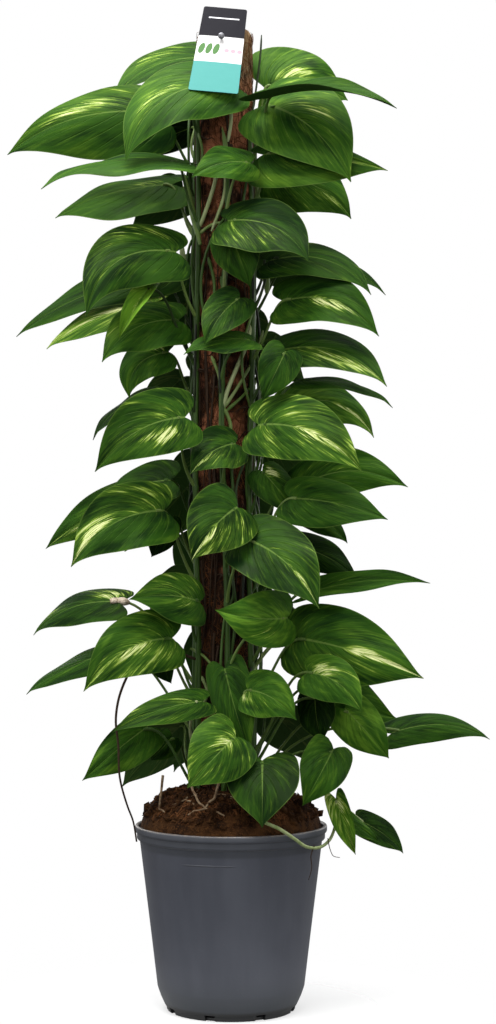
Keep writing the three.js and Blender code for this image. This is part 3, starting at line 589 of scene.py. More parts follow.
# Coir pole: a sleeve of matted coconut fibre round a grey plastic tube. The tube is the CAD
# node with a finish; the sleeve takes the CAD coir's place, with loose strands over it.
POLE_X = -8
POLE_Y = 5
POLE_RADIUS = 35
POLE_BOTTOM = 24
POLE_TOP = 1222
POLE_EDGE = 9
CORE_RADIUS = 12.5
POLE_SIDES = 96
STRANDS = 5200
STRANDS_FROM = 232


def round_pole(radius, angle, height):
    """Points round the pole's middle line."""
    return polar(radius, angle, height, POLE_X, POLE_Y)


bend_x, bend_y = POLE_RADIUS - 1 - POLE_EDGE, POLE_TOP - POLE_EDGE
sleeve_bend = [
    [bend_x + POLE_EDGE * np.cos(angle), bend_y + POLE_EDGE * np.sin(angle)]
    for angle in np.radians([20, 40, 60, 80, 90])
]
sleeve_profile = np.array([
    [CORE_RADIUS + 0.4, POLE_BOTTOM], [POLE_RADIUS - 1, POLE_BOTTOM],
    *[[POLE_RADIUS - 1, z] for z in np.linspace(200, POLE_TOP - POLE_EDGE, 320)],
    *sleeve_bend, [CORE_RADIUS + 0.6, POLE_TOP - 3], [CORE_RADIUS + 0.4, POLE_TOP - 8],
    [CORE_RADIUS + 0.4, POLE_BOTTOM],
])
sleeve_points, sleeve_quads = turned(sleeve_profile, POLE_SIDES, POLE_X, POLE_Y)
sleeve_way = sleeve_points - [POLE_X, POLE_Y, 0]
sleeve_way[..., 2] = 0
sleeve_out = np.linalg.norm(sleeve_way, axis=-1, keepdims=True)
sleeve_rough = 0.75 * bumps(*np.moveaxis(sleeve_points, -1, 0), 26, 5)[..., None]
sleeve_points += sleeve_way / sleeve_out * sleeve_rough * (sleeve_out > CORE_RADIUS + 4)

# The mat is redder and paler the higher it is, and never evenly so. Its warm patches are its own
# colour, but the rise with height is painted light, and the near-black mat lower down is painted
# shade under the leaves. Its top is paler.
coir_paint = Paint("coir_mat")
coir_long = coir_paint.mottle(330, 5, 0.7, stretch=(1, 1, 0.16))
_, _, coir_height = coir_paint.spot().parts()
coir_warmth_and_light = (coir_paint.mottle(22, 3) + coir_height * 0.16 - 0.13).above(0.46, 0.60)
coir_paint.colour = coir_paint.mix(coir_warmth_and_light, (0.022, 0.011, 0.007), (0.42, 0.155, 0.075))
coir_paint.over(coir_long.above(0.54, 0.74), (0.22, 0.105, 0.052))
coir_paint.under(coir_long.above(0.36, 0.48), (0.012, 0.004, 0.003))
paler_top = coir_height.above((POLE_TOP - 120) * MM, (POLE_TOP - 15) * MM) * 0.8
coir_paint.over(paler_top * coir_long.above(0.3, 0.5), (0.32, 0.23, 0.12))
coir_mat = coir_paint.finish(0.9, coir_long, 4 * MM, Specular_IOR_Level=0.1)
sleeve = mesh_object("coir_sleeve", (sleeve_points, sleeve_quads), coir_mat)
ride(welded(sleeve), "coir", "pole_coir")

coir_draw = np.random.default_rng(23)
step = np.linspace(-0.5, 0.5, 6)
strand = even_draws(coir_draw, STRANDS)
strand_height = strand(STRANDS_FROM, POLE_TOP - POLE_EDGE)
strand_angle = strand(0, 2 * np.pi)
strand_lean = coir_draw.normal(0, 0.75, (STRANDS, 1))
lean = strand_lean + coir_draw.normal(0, 1.1, (STRANDS, 1)) * step
strand_step = strand(14, 60) * step
strand_z = np.minimum(strand_height + strand_step * np.cos(lean), POLE_TOP - 3 - 3 * step ** 2)
strand_proud = np.abs(coir_draw.normal(0, 0.7, (STRANDS, 1)))
strand_out = POLE_RADIUS - 0.4 + strand_proud * (1 - (2 * step) ** 2) - 1.6 * (2 * step) ** 6
strand_round = strand_angle + strand_step * np.sin(lean) / POLE_RADIUS
strand_paths = round_pole(strand_out, strand_round, strand_z)
strand_thick = strand(0.16, 0.42) * (1 - 0.4 * (2 * step) ** 2)
ride(mesh_object("coir_fibres", tubes(strand_paths, strand_thick, sides=3), coir_strands), "coir")

tube_paint = Paint("grey_tube")
tube_cloud = tube_paint.mottle(90, 3, stretch=(1, 1, 0.2))
tube_paint.colour = tube_paint.mix(tube_cloud, (0.17, 0.18, 0.18), (0.27, 0.28, 0.28))
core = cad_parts["pole_core"]
core.data.materials.clear()
core.data.materials.append(tube_paint.finish(0.5, tube_cloud, 0.6 * MM))


# Label: a printed plastic card that hangs on a steel pin pushed into the front of the pole. It
# has a dark, a white and a turquoise band; the white one carries a plain row of leaf shapes.
LABEL_TOP_WIDTH = 54
LABEL_BOTTOM_WIDTH = 61
LABEL_HEIGHT = 134
LABEL_HOLE_DROP = 48
LABEL_LEAN = 28
LABEL_TILT = 6.5
LABEL_STANDOFF = 8
LABEL_HOLE_RADIUS = 2.4
PIN_ACROSS = -12
PIN_HEIGHT = 1204
PIN_RADIUS = 1.5
PIN_HEAD_RADIUS = 4
PIN_DEPTH = 9
PIN_PROUD = 15
CARD_THICKNESS = 0.8
CARD_ROUNDING = 3


def hung(points):
    """From the label's own plane, with its pin hole at zero and its top along +Y, to its place:
    tilted in that plane, leaned back from upright and moved out in front of the pole."""
    tilt, lean = np.radians(-LABEL_TILT), np.radians(90 - LABEL_LEAN)
    x = points[..., 0] * np.cos(tilt) - points[..., 1] * np.sin(tilt)
    y = points[..., 0] * np.sin(tilt) + points[..., 1] * np.cos(tilt)
    z = points[..., 2]
    return np.stack([
        PIN_ACROSS + x,
        POLE_Y - POLE_RADIUS - LABEL_STANDOFF + y * np.cos(lean) - z * np.sin(lean),
        PIN_HEIGHT + y * np.sin(lean) + z * np.cos(lean),
    ], -1)


def flat_map(thing, name, places):
    """A UV map from the flat place of each point."""
    corner = np.zeros(len(thing.data.loops), np.int32)
    thing.data.loops.foreach_get("vertex_index", corner)
    layer = thing.data.uv_layers.new(name=name)
    layer.data.foreach_set("uv", places[corner].astype(np.float32).ravel())


card_top = LABEL_HOLE_DROP
card_bottom = LABEL_HOLE_DROP - LABEL_HEIGHT
half_top, half_bottom = LABEL_TOP_WIDTH / 2, LABEL_BOTTOM_WIDTH / 2
card_corners = [
    [half_bottom, card_bottom], [half_top, card_top],
    [-half_top, card_top], [-half_bottom, card_bottom],
]
# The outline runs once round the corners, anticlockwise
card_outline = rounded([card_corners[-1], *card_corners, card_corners[0]], CARD_ROUNDING, 6)[1:-1]
# The card's face is a set of rings between its pin hole and its outline
ring_share = np.array([0, 0.06, 0.15, 0.3, 0.45, 0.6, 0.75, 0.88, 1.0])[:, None, None]
outline_angle = np.arctan2(card_outline[:, 1], card_outline[:, 0])
card_hole = LABEL_HOLE_RADIUS * np.stack([np.cos(outline_angle), np.sin(outline_angle)], -1)
card_rings = card_hole + (card_outline - card_hole) * ring_share
card_bow = -0.9 * (card_rings[..., 0] / 30) ** 2


def card_skin(lift):
    """The card's bowed face, lifted out of its plane."""
    return np.concatenate([card_rings, card_bow[..., None] + lift], -1)


card_points = hung(np.concatenate([
    card_skin(CARD_THICKNESS / 2), card_skin(-CARD_THICKNESS / 2)[::-1],
]))
card_loops, card_steps = card_points.shape[:2]
card_quads = grid_quads(card_loops + 1, card_steps, closed=True) % (card_loops * card_steps)

# The print, by its places on the card in millimetres from the pin hole
DARK_BAND = 1
TURQUOISE_BAND = -40
BAND_BLUR = 0.3
MARK_SIZE = 9
MARK_TURN = 1.35
MARK_X = [-22, -13, -4]
MARK_Y = -19.5
DOT_X = [9, 17, 25]
DOT_Y = -21
DOT_EDGE = (2.9, 3.3)
RULE_LOW = (29.4, 29.8)
RULE_HIGH = (31.2, 31.6)
RULE_LEFT = (-19, -18.7)
RULE_RIGHT = (18.7, 19)
card_paint = Paint("printed_card")
card_uv = card_paint.add("ShaderNodeUVMap", {"uv_map": "card"}, {}, "UV")
card_x, card_y, _ = card_uv.parts()


def leaf_mark(x, y, size, turn):
    """A plain almond leaf shape, 1 inside it: an ellipse that is longest along its midrib."""
    c, s = np.cos(turn), np.sin(turn)
    along = (card_x - x) * c + (card_y - y) * s
    across = (card_y - y) * c - (card_x - x) * s
    return 1 - ((along / size) ** 2.0 + (across / (0.42 * size)) ** 2.0).above(0.85, 1.0)


card_paint.colour = card_paint.mix(
    card_paint.noise(card_uv, 0.4, 2), (0.56, 0.55, 0.55), (0.63, 0.62, 0.61))
for x in MARK_X:
    card_paint.over(leaf_mark(x, MARK_Y, MARK_SIZE, MARK_TURN), (0.07, 0.16, 0.05))
for x in DOT_X:
    off_dot = ((card_x - x) ** 2.0 + (card_y - DOT_Y) ** 2.0) ** 0.5
    card_paint.over(1 - off_dot.above(*DOT_EDGE), (0.40, 0.28, 0.32))
card_paint.over(card_y.above(DARK_BAND - BAND_BLUR, DARK_BAND), (0.004, 0.0035, 0.007))
card_paint.under(card_y.above(TURQUOISE_BAND - BAND_BLUR, TURQUOISE_BAND), (0.070, 0.270, 0.246))
rule = card_y.above(*RULE_LOW) * (1 - card_y.above(*RULE_HIGH))
rule = rule * card_x.above(*RULE_LEFT) * (1 - card_x.above(*RULE_RIGHT))
card_paint.over(rule, (0.72, 0.71, 0.73))
printed_card = card_paint.finish(
    0.5, card_paint.noise(card_uv, 0.05, 2), 0.4 * MM, Specular_IOR_Level=0.05)
card = mesh_object("label_card", (card_points, card_quads), printed_card, sharp=40)
card_flat = np.concatenate([card_rings, card_rings[::-1]]).reshape(-1, 2)
flat_map(card, "card", card_flat)
ride(card, "label", "plant_label")

pin_profile = np.array([
    [0, -PIN_DEPTH - 6], [PIN_RADIUS * 0.5, -PIN_DEPTH - 3], [PIN_RADIUS, -PIN_DEPTH],
    [PIN_RADIUS, PIN_PROUD], [PIN_HEAD_RADIUS, PIN_PROUD], [PIN_HEAD_RADIUS, PIN_PROUD + 0.8],
    [3.2, PIN_PROUD + 1.5], [0, PIN_PROUD + 1.6],
])
pin_points, pin_quads = turned(pin_profile, 28)
pin_across, pin_up, pin_out = np.moveaxis(pin_points, -1, 0)
pin_points = np.stack([
    PIN_ACROSS + pin_across, POLE_Y - POLE_RADIUS - pin_out, PIN_HEIGHT + pin_up,
], -1)
pin_paint = Paint("pin_steel", (0.16, 0.16, 0.17))
pin_steel = pin_paint.finish(0.4 + 0.2 * pin_paint.mottle(900, 2), Metallic=1.0)
pin = welded(mesh_object("label_pin_steel", (pin_points, pin_quads), pin_steel, sharp=40))
ride(pin, "label_pin", "label_pin")


# Leaves: each is a thin heart-shaped blade with a pointed tip, marbled in yellow-green and cream.
# A row gives the blade's root as seen from the front (across, up, depth), its tip the same way,
# its width, how far its face turns up in degrees, how far it bows up as a share of its length and
# its fold along the midrib. Then come its looks: the marbling of its upper and its lower half, its
# tone from dark (-1) to yellow-green (1), which is partly the leaf's own colour and partly painted
# light and shade, set to how lit the leaf looks, and for most the place along and across of one
# pale patch and how strong that is. Two more values, where a leaf is curled, are the shares of its
# upper and its lower half's width that show.
LOOKS_FROM = 10
LOOKS_TO = 16
PLAIN_ENDING = [0.5, 0.5, 0.0, 1.0, 1.0]
FOLD = -0.14
ARCH = 0.07
LOBE_REACH = 0.14
WIDEST_AT = 0.3
STALK_END = 0.07
FRONT_LEFT_LEAVES = [
    [-4, 1158, -66, -134, 1066, -92, 94, 20, 0.16, FOLD, 0.2, 0.1, 0.1, 0.68, 0.45, 0.75],
    [-59, 1054, -48, -239, 1028, -60, 84, 68, 0.09, FOLD, 0.15, 0.1, 0.0, 0.3, 0.5, 0.2],
    [-69, 945, -62, -181, 866, -85, 86, 10, 0.2, FOLD, 0.2, 0.05, -0.25, 0.35, 0.7, 0.4],
    [-66, 862, -44, -162, 809, -56, 74, 18, 0.12, FOLD, 0.2, 0.1, 0.2, 0.5, 0.5, 0.1],
    [-101, 902, -64, -141, 836, -74, 34, 10, 0.02, 0.75, 0.4, 0.4, 1.0, 0.5, 0.0, 0.3],
    [-57, 738, -75, -170, 671, -96, 84, 5, 0.1, FOLD, 0.28, 0.26, -0.2, 0.45, -0.45, 0.9],
    [-84, 622, -80, -200, 552, -100, 88, 5, 0.12, FOLD, 0.34, 0.14, -0.1, 0.84, 0.42, 1.2],
    [-39, 508, -48, -126, 512, -84, 68, 18, 0.04, FOLD, 0.3, 0.2, 0.0, 0.5, -0.2, 0.4],
    [-74, 462, -70, -184, 396, -96, 80, 5, 0.12, FOLD, 0.3, 0.42, 0.0, 0.6, -0.2, 0.5],
    [-36, 384, -68, -150, 346, -80, 44, 30, 0.02, FOLD, 0.25, 0.2, -0.2, 0.4, 0.2, 0.2],
    [-104, 352, -34, -186, 284, -52, 78, 0, 0.02, FOLD, 0.1, 0.1, 0.15, 0.5, 0.5, 0.0, 0.62, 0.85],
    [6, 341, -84, -54, 276, -112, 82, 0, 0.02, FOLD, 0.42, 0.36, -0.05, 0.4, 0.2, 0.4],
]
FRONT_LEAVES = [
    [24, 1056, -62, -49, 1040, -80, 52, 25, 0.05, FOLD, 0.1, 0.1, 0.2],
    [-4, 984, -66, 98, 936, -88, 92, 28, 0.12, FOLD, 0.05, 0.25, -0.4, 0.6, -0.5, 0.3],
    [-1, 966, -56, 24, 902, -64, 60, 0, 0, FOLD, 0.1, 0.1, 0.0],
    [11, 888, -56, -33, 829, -72, 56, 10, 0.05, FOLD, 0.15, 0.15, -0.3],
    [24, 836, -58, -60, 821, -72, 50, 48, 0.02, FOLD, 0.1, 0.1, 0.0],
    [6, 706, -60, -51, 669, -78, 62, 15, 0.08, FOLD, 0.15, 0.3, -0.35, 0.9, -0.3, 0.8],
    [8, 626, -76, -49, 560, -104, 86, 0, 0.06, FOLD, 0.2, 0.4, -0.45, 0.86, -0.2, 0.95],
    [22, 585, -74, 110, 500, -104, 90, 8, 0.08, FOLD, 0.2, 0.2, -0.3, 0.89, 0.0, 0.8],
    [71, 488, -68, -19, 498, -84, 72, 10, -0.06, FOLD, 0.12, 0.12, 0.45, 0.5, -0.6, 0.4],
    [-8, 425, -46, 24, 314, -64, 58, -10, 0, FOLD, 0.1, 0.1, 0.0],
    [21, 398, -72, 81, 360, -92, 62, 0, 0.1, FOLD, 0.1, 0.25, 0.2, 0.1, -0.3, 0.8],
    [39, 310, -86, 39, 226, -134, 92, 0, 0, FOLD, 0.1, 0.1, -0.6],
]
FRONT_RIGHT_LEAVES = [
    [44, 1136, -52, 208, 1129, -80, 78, 58, 0.03, 0.3, 0.1, 0.2, -0.1, 0.5, 0.5, 0.0, 0.5, 1.25],
    [46, 1130, -44, 150, 1034, -74, 114, 4, 0.08, FOLD, 0.25, 0.2, 0.2, 0.5, 0.5, 0.3],
    [40, 1064, -30, 196, 1049, -48, 92, 16, 0.02, FOLD, 0.1, 0.2, 0.1, 0.8, -0.4, 0.5, 0.4, 1.0],
    [49, 934, -34, 176, 894, -44, 66, 34, 0.14, FOLD, 0.15, 0.15, -0.3],
    [66, 884, -46, 185, 841, -66, 74, 8, 0.14, FOLD, 0.2, 0.2, -0.1, 0.71, -0.2, 1.5],
    [55, 822, -44, 196, 780, -62, 76, 34, 0.13, FOLD, 0.1, 0.4, -0.2, 0.75, -0.6, 0.6],
    [68, 820, -66, 39, 759, -76, 52, 0, 0, FOLD, 0.08, 0.08, -0.2],
    [92, 785, -28, 204, 754, -38, 58, 68, 0.08, FOLD, 0.1, 0.1, -0.2, 0.5, 0.5, 0.0, 0.45, 0.7],
    [34, 729, -74, 164, 671, -96, 86, 5, 0.11, FOLD, 0.34, 0.38, -0.15, 0.78, -0.15, 0.85],
    [39, 672, -42, 84, 616, -52, 50, 10, 0, FOLD, 0.15, 0.1, 0.0, 0.3, 0.3, 1.4],
    [84, 650, -46, 221, 652, -62, 68, 10, 0.13, FOLD, 0.2, 0.15, 0.1, 0.5, 0.5, 0.2],
    [74, 637, -64, 196, 612, -84, 68, 16, 0.02, FOLD, 0.1, 0.1, -0.1],
    [99, 520, -34, 249, 534, -44, 54, 44, 0.0, 0.3, 0.1, 0.1, 0.0, 0.5, 0.5, 0.0, 0.7, 1.0],
    [84, 462, -56, 241, 412, -78, 100, 5, 0.03, FOLD, 0.2, 0.3, 0.05, 0.9, 0.12, 2.2],
    [96, 420, -80, 164, 370, -98, 60, 5, 0.12, FOLD, 0.3, 0.15, 0.1, 0.4, 0.3, 1.0],
    [105, 391, -48, 114, 329, -54, 58, -30, 0, FOLD, 0.05, 0.05, -0.6],
    [128, 325, -62, 90, 252, -82, 62, 0, 0, FOLD, 0.1, 0.1, 0.0],
]
BACK_LEFT_LEAVES = [
    [-16, 1194, 34, -152, 1137, -14, 76, 44, 0.14, FOLD, 0.15, 0.15, -0.1, 0.6, 0.7, 0.6],
    [-92, 1120, -8, -282, 1068, -26, 102, 16, 0.07, FOLD, 0.3, 0.05, -0.05, 0.62, 0.55, 0.7, 0.74, 1.15],
    [-42, 1106, 30, -132, 1066, 16, 52, -30, 0.04, FOLD, 0.0, 0.0, -0.9],
    [-74, 1034, 12, -222, 990, -8, 74, 44, 0, FOLD, 0.15, 0.1, 0.1, 0.45, 0.15, 0.6, 0.85, 1.3],
    [-82, 920, 6, -270, 840, -8, 62, 38, 0.02, FOLD, 0.05, 0.05, -0.3],
    [-95, 885, -12, -234, 827, -26, 60, 50, 0.0, FOLD, 0.6, 0.5, 0.4, 0.7, 0.1, 0.6],
    [-79, 820, -16, -129, 762, -28, 60, 18, 0.22, FOLD, 0.15, 0.1, 0.2, 0.3, 0.3, 0.8],
    [-101, 766, 8, -176, 712, 2, 46, 58, 0.08, FOLD, 0.1, 0.1, -0.4],
    [-76, 660, -18, -158, 618, -32, 62, 28, 0.1, FOLD, 0.1, 0.1, -0.3],
    [-112, 642, 12, -234, 574, -4, 56, 14, 0.03, FOLD, 0.1, 0.3, 0.0, 0.8, -0.3, 0.5],
    [-79, 612, -8, -99, 562, -12, 46, -18, 0, FOLD, 0.0, 0.0, -0.8],
    [-142, 508, 12, -250, 468, 12, 60, 44, 0.08, FOLD, 0.25, 0.15, -0.35, 0.25, 0.4, 0.6],
    [-140, 446, 8, -259, 394, 14, 46, 50, 0, FOLD, 0.05, 0.05, -0.1],
    [-100, 456, -22, -74, 404, -26, 42, 0, 0, FOLD, 0.0, 0.0, -0.7],
    [-74, 338, -14, -101, 308, -20, 36, 0, 0, FOLD, 0.1, 0.1, -0.3],
]
BACK_RIGHT_LEAVES = [
    [42, 1152, 22, 148, 1136, 6, 114, 12, 0.08, FOLD, 0.3, 0.2, 0.1, 0.6, 0.3, 0.5],
    [52, 1038, 10, 152, 987, -14, 82, 10, 0.12, FOLD, 0.2, 0.25, 0.1, 0.9, -0.2, 0.7],
    [74, 932, 16, 196, 894, 8, 46, 48, 0.08, FOLD, 0.1, 0.1, -0.3],
    [74, 754, -6, 181, 714, -24, 62, 22, 0.18, FOLD, 0.2, 0.2, 0.4, 0.9, -0.2, 1.6],
    [86, 622, -12, 148, 581, -20, 36, 20, 0.05, FOLD, 0.1, 0.1, 0.0],
    [82, 578, 2, 160, 536, -10, 46, 10, 0.05, FOLD, 0.0, 0.0, -0.5],
    [111, 410, -14, 209, 362, -30, 70, 12, -0.08, FOLD, 0.15, 0.15, 0.2, 0.6, 0.2, 0.3],
    [142, 375, -24, 199, 311, -40, 60, 8, 0, FOLD, 0.15, 0.15, 0.5],
    [201, 344, 8, 326, 338, 16, 44, 38, 0.07, FOLD, 0.05, 0.05, -0.1],
]
RUNNER_LEAVES = [
    [130, 264, -38, 156, 190, -48, 32, -5, 0, 0.5, 0.4, 0.5, 0.5, 0.3, 0.2, 0.6],
    [138, 243, -20, 186, 209, -24, 24, 30, -0.05, FOLD, 0.1, 0.1, 0.1],
    [161, 233, -14, 218, 194, -20, 40, 38, 0.02, FOLD, 0.1, 0.1, -0.4],
]

# Leaves on the far side follow one rule: they climb by even steps in the columns of each stem,
# and each varies a little in its place, its length, the way its face turns and its marbling.
FAR_FIRST = 345
FAR_REACH = 60
FAR_LENGTH = 112
FAR_WIDTH_SHARE = 0.66
FAR_SPREAD = 10
FAR_OUT = 0.8
FAR_DROP = 0.45
FAR_FACE = 138
FAR_FACE_SPREAD = 24
FAR_SWAY = 0.04
SEED = 41

# Stems, by their place round the pole in degrees from +X, with their top, their leaves, how far
# these fan out in depth for each step across, and the columns of the leaves on the far side
FAN = 0.3
VINES = [
    {"name": "front_left", "azimuth": 214, "top": 1128, "leaves": FRONT_LEFT_LEAVES, "fan": -FAN},
    {"name": "front", "azimuth": 270, "top": 1048, "leaves": FRONT_LEAVES, "fan": -FAN},
    {"name": "front_right", "azimuth": 322, "top": 1112, "leaves": FRONT_RIGHT_LEAVES, "fan": -FAN},
    {"name": "back_left", "azimuth": 152, "top": 1150, "leaves": BACK_LEFT_LEAVES, "fan": FAN,
     "far_count": 6, "far_columns": [140]},
    {"name": "back", "azimuth": 92, "top": 1095, "leaves": [], "fan": 0,
     "far_count": 13, "far_columns": [110, 72]},
    {"name": "back_right", "azimuth": 28, "top": 1120, "leaves": BACK_RIGHT_LEAVES, "fan": FAN,
     "far_count": 7, "far_columns": [40]},
    {"name": "runner", "azimuth": 322, "top": 300, "leaves": RUNNER_LEAVES, "fan": 0},
]


def seeded_draws(seed):
    """Even draws from 0 to 1, the same each time."""
    state = seed
    while True:
        state = (state * 1664525 + 1013904223) % 4294967296
        yield state / 4294967296


def far_leaves(vine, draws, looks):
    """The rows of the leaves on the far side of a vine, worked out by rule."""
    rows = []
    count = vine.get("far_count", 0)
    for number in range(count):
        column = vine["far_columns"][number % len(vine["far_columns"])]
        angle = np.radians(column + FAR_SPREAD * (next(draws) - 0.5))
        length = FAR_LENGTH * (0.82 + 0.36 * next(draws))
        inner = FAR_REACH * (0.8 + 0.4 * next(draws))
        outer = inner + length * FAR_OUT
        up = FAR_FIRST + (vine["top"] - FAR_FIRST) / count * (number + 0.5 * next(draws))
        drop = length * (FAR_DROP + 0.2 * next(draws))
        rows.append([
            POLE_X + inner * np.cos(angle), up, POLE_Y + inner * np.sin(angle),
            POLE_X + outer * np.cos(angle), up - drop, POLE_Y + outer * np.sin(angle),
            length * FAR_WIDTH_SHARE, FAR_FACE + FAR_FACE_SPREAD * next(draws), FAR_SWAY, FOLD,
            looks.uniform(0.05, 0.6), looks.uniform(0.05, 0.5), looks.uniform(-0.5, 0.4),
            looks.uniform(0.3, 0.8), looks.uniform(-0.6, 0.6), looks.uniform(0, 0.8),
        ])
    return rows


def seen(spots):
    """Spots noted from the front as (across, up, depth) at their real places: what lies
    nearer to the eye is smaller than it looks, in proportion to its distance."""
    across, up, depth = np.moveaxis(np.asarray(spots, float), -1, 0)
    nearness = (EYE_DISTANCE + depth) / EYE_DISTANCE
    return np.stack([across * nearness, depth, EYE_HEIGHT + (up - EYE_HEIGHT) * nearness], -1)


def unit(vectors):
    return vectors / np.linalg.norm(vectors, axis=-1, keepdims=True)


def dot(first, second):
    return np.sum(first * second, axis=-1, keepdims=True)


class Leaves:
    """The frames of many leaves as arrays: root, reach to the tip, face and side of each."""

    def __init__(self, rows, fans):
        ends = LOOKS_TO + 2 - len(PLAIN_ENDING)
        rows = np.array([row + PLAIN_ENDING[len(row) - ends:] for row in rows], float)
        self.root = seen(rows[:, 0:3])
        tips = rows[:, 3:6].copy()
        tips[:, 2] += fans * np.abs(rows[:, 3] - rows[:, 0])
        tip = seen(tips)
        self.reach = tip - self.root
        self.length = np.linalg.norm(self.reach, axis=-1)
        axis = unit(self.reach)
        to_eye = unit(np.array([0, -1, 0]) + axis * axis[:, 1:2])
        upward = np.cross(to_eye, axis) * np.where(tip[:, :1] < self.root[:, :1], -1, 1)
        turn = np.radians(rows[:, 7:8])
        self.normal = np.cos(turn) * to_eye + np.sin(turn) * upward
        self.side = np.cos(turn) * upward - np.sin(turn) * to_eye
        self.flip = np.sign(dot(np.cross(axis, self.side), self.normal))[:, 0]
        self.width, self.sway, self.fold = rows[:, 6], rows[:, 8], rows[:, 9]
        self.look, self.halves = rows[:, LOOKS_FROM:LOOKS_TO], rows[:, LOOKS_TO:]
        self.root_shift = np.zeros(len(rows))
        self.tip_shift = np.zeros(len(rows))

    def picked(self, pick):
        """The picked leaves alone."""
        part = copy(self)
        for key, values in vars(self).items():
            setattr(part, key, values[pick])
        return part

    def points(self, s, across, lift, slide=0.0):
        """Points of the blades: s along the midrib, which bows as a parabola, then across and
        lift millimetres from it in the blade's folded plane, and slide millimetres along it.
        All are arrays of one row for each leaf."""
        s, across, lift, slide = (np.asarray(part)[..., None] for part in np.broadcast_arrays(
            s, across, lift, slide))

        def each(values):
            return values.reshape(len(values), *[1] * (s.ndim - 2), -1)

        length, sway, fold = each(self.length), each(self.sway), each(self.fold)
        reach, normal, side = each(self.reach), each(self.normal), each(self.side)
        bow = length * 4 * s * (1 - s)
        bend = length * 4 * (1 - 2 * s)
        along = unit(reach + normal * ARCH * bend + side * sway * bend)
        flat_side = unit(side - along * dot(along, side))
        face = np.cross(along, flat_side) * each(self.flip)
        spots = (
            each(self.root) + reach * s + normal * ARCH * bow + side * sway * bow
            + flat_side * across * np.cos(fold)
            + face * (np.abs(across) * np.sin(fold) + lift) + along * slide
        )
        spots[..., 1] += (each(self.root_shift) * (1 - s) + each(self.tip_shift) * s)[..., 0]
        return spots


def plain_width(s):
    """Share of the full width at s: it swells along a quarter of a sine up to its widest place,
    and a falling power draws the tip in."""
    swell = 0.6 + 0.4 * np.sin(np.pi / 2 * np.minimum(s / WIDEST_AT, 1))
    return 1.08 * swell * (1 - s ** 2.2) ** 1.25


STEM_RING = 41.5
STEM_RADIUS = 4.4
STEM_BOTTOM = 130
STEM_STRAIGHT_TO = 290
STEM_WANDER = 5
STEM_WAVE = 95
STALK_DROP = 34


def stem_points(azimuth, height):
    """A stem's middle at a height: on a ring round the pole, upright at first, then wandering
    round it as a sine of the climb."""
    climb = np.maximum(0, height - STEM_STRAIGHT_TO)
    angle = np.radians(azimuth + STEM_WANDER * np.sin(climb / STEM_WAVE + azimuth))
    return round_pole(STEM_RING, angle, height)


def bezier(handles, share):
    """Points at each share along cubic curves, from their four handles."""
    start, leave, arrive, end = (handle[:, None] for handle in handles)
    t = np.asarray(share)[None, :, None]
    near, far = 3 * leave * t * (1 - t) ** 2, 3 * arrive * t ** 2 * (1 - t)
    return start * (1 - t) ** 3 + near + far + end * t ** 3


def stalk_handles(leaves):
    """A stalk leaves its stem below the blade's root, climbs outwards and ends in the blade."""
    end = leaves.points(np.full((len(leaves.root), 1), STALK_END), 0.0, 0.0)[:, 0]
    level = np.hypot(end[:, 0] - POLE_X, end[:, 1] - POLE_Y) - STEM_RING
    drop = STALK_DROP + 0.7 * np.maximum(0, level)
    height = np.clip(end[:, 2] - drop, STEM_STRAIGHT_TO - 20, leaves.top - 8)
    start = stem_points(leaves.azimuth, height)
    span = np.linalg.norm(end - start, axis=-1, keepdims=True)
    level_only = np.array([1, 1, 0])
    away = unit((start - [POLE_X, POLE_Y, 0]) * level_only)
    out = unit((end - [POLE_X, POLE_Y, 0]) * level_only)
    leave = start + away * 0.34 * span + [0, 0, 1] * (0.45 * span)
    arrive = end - out * 0.3 * span + [0, 0, 1] * (0.04 * span)
    return start, leave, arrive, end


SETTLE_NEAR = 11
SETTLE_GAP = 9
SETTLE_ROUNDS = 140
SETTLE_RATE = 0.8
SETTLE_KEEP = 0.99
CORE_ZONE = 46
STALK_ZONE = 39


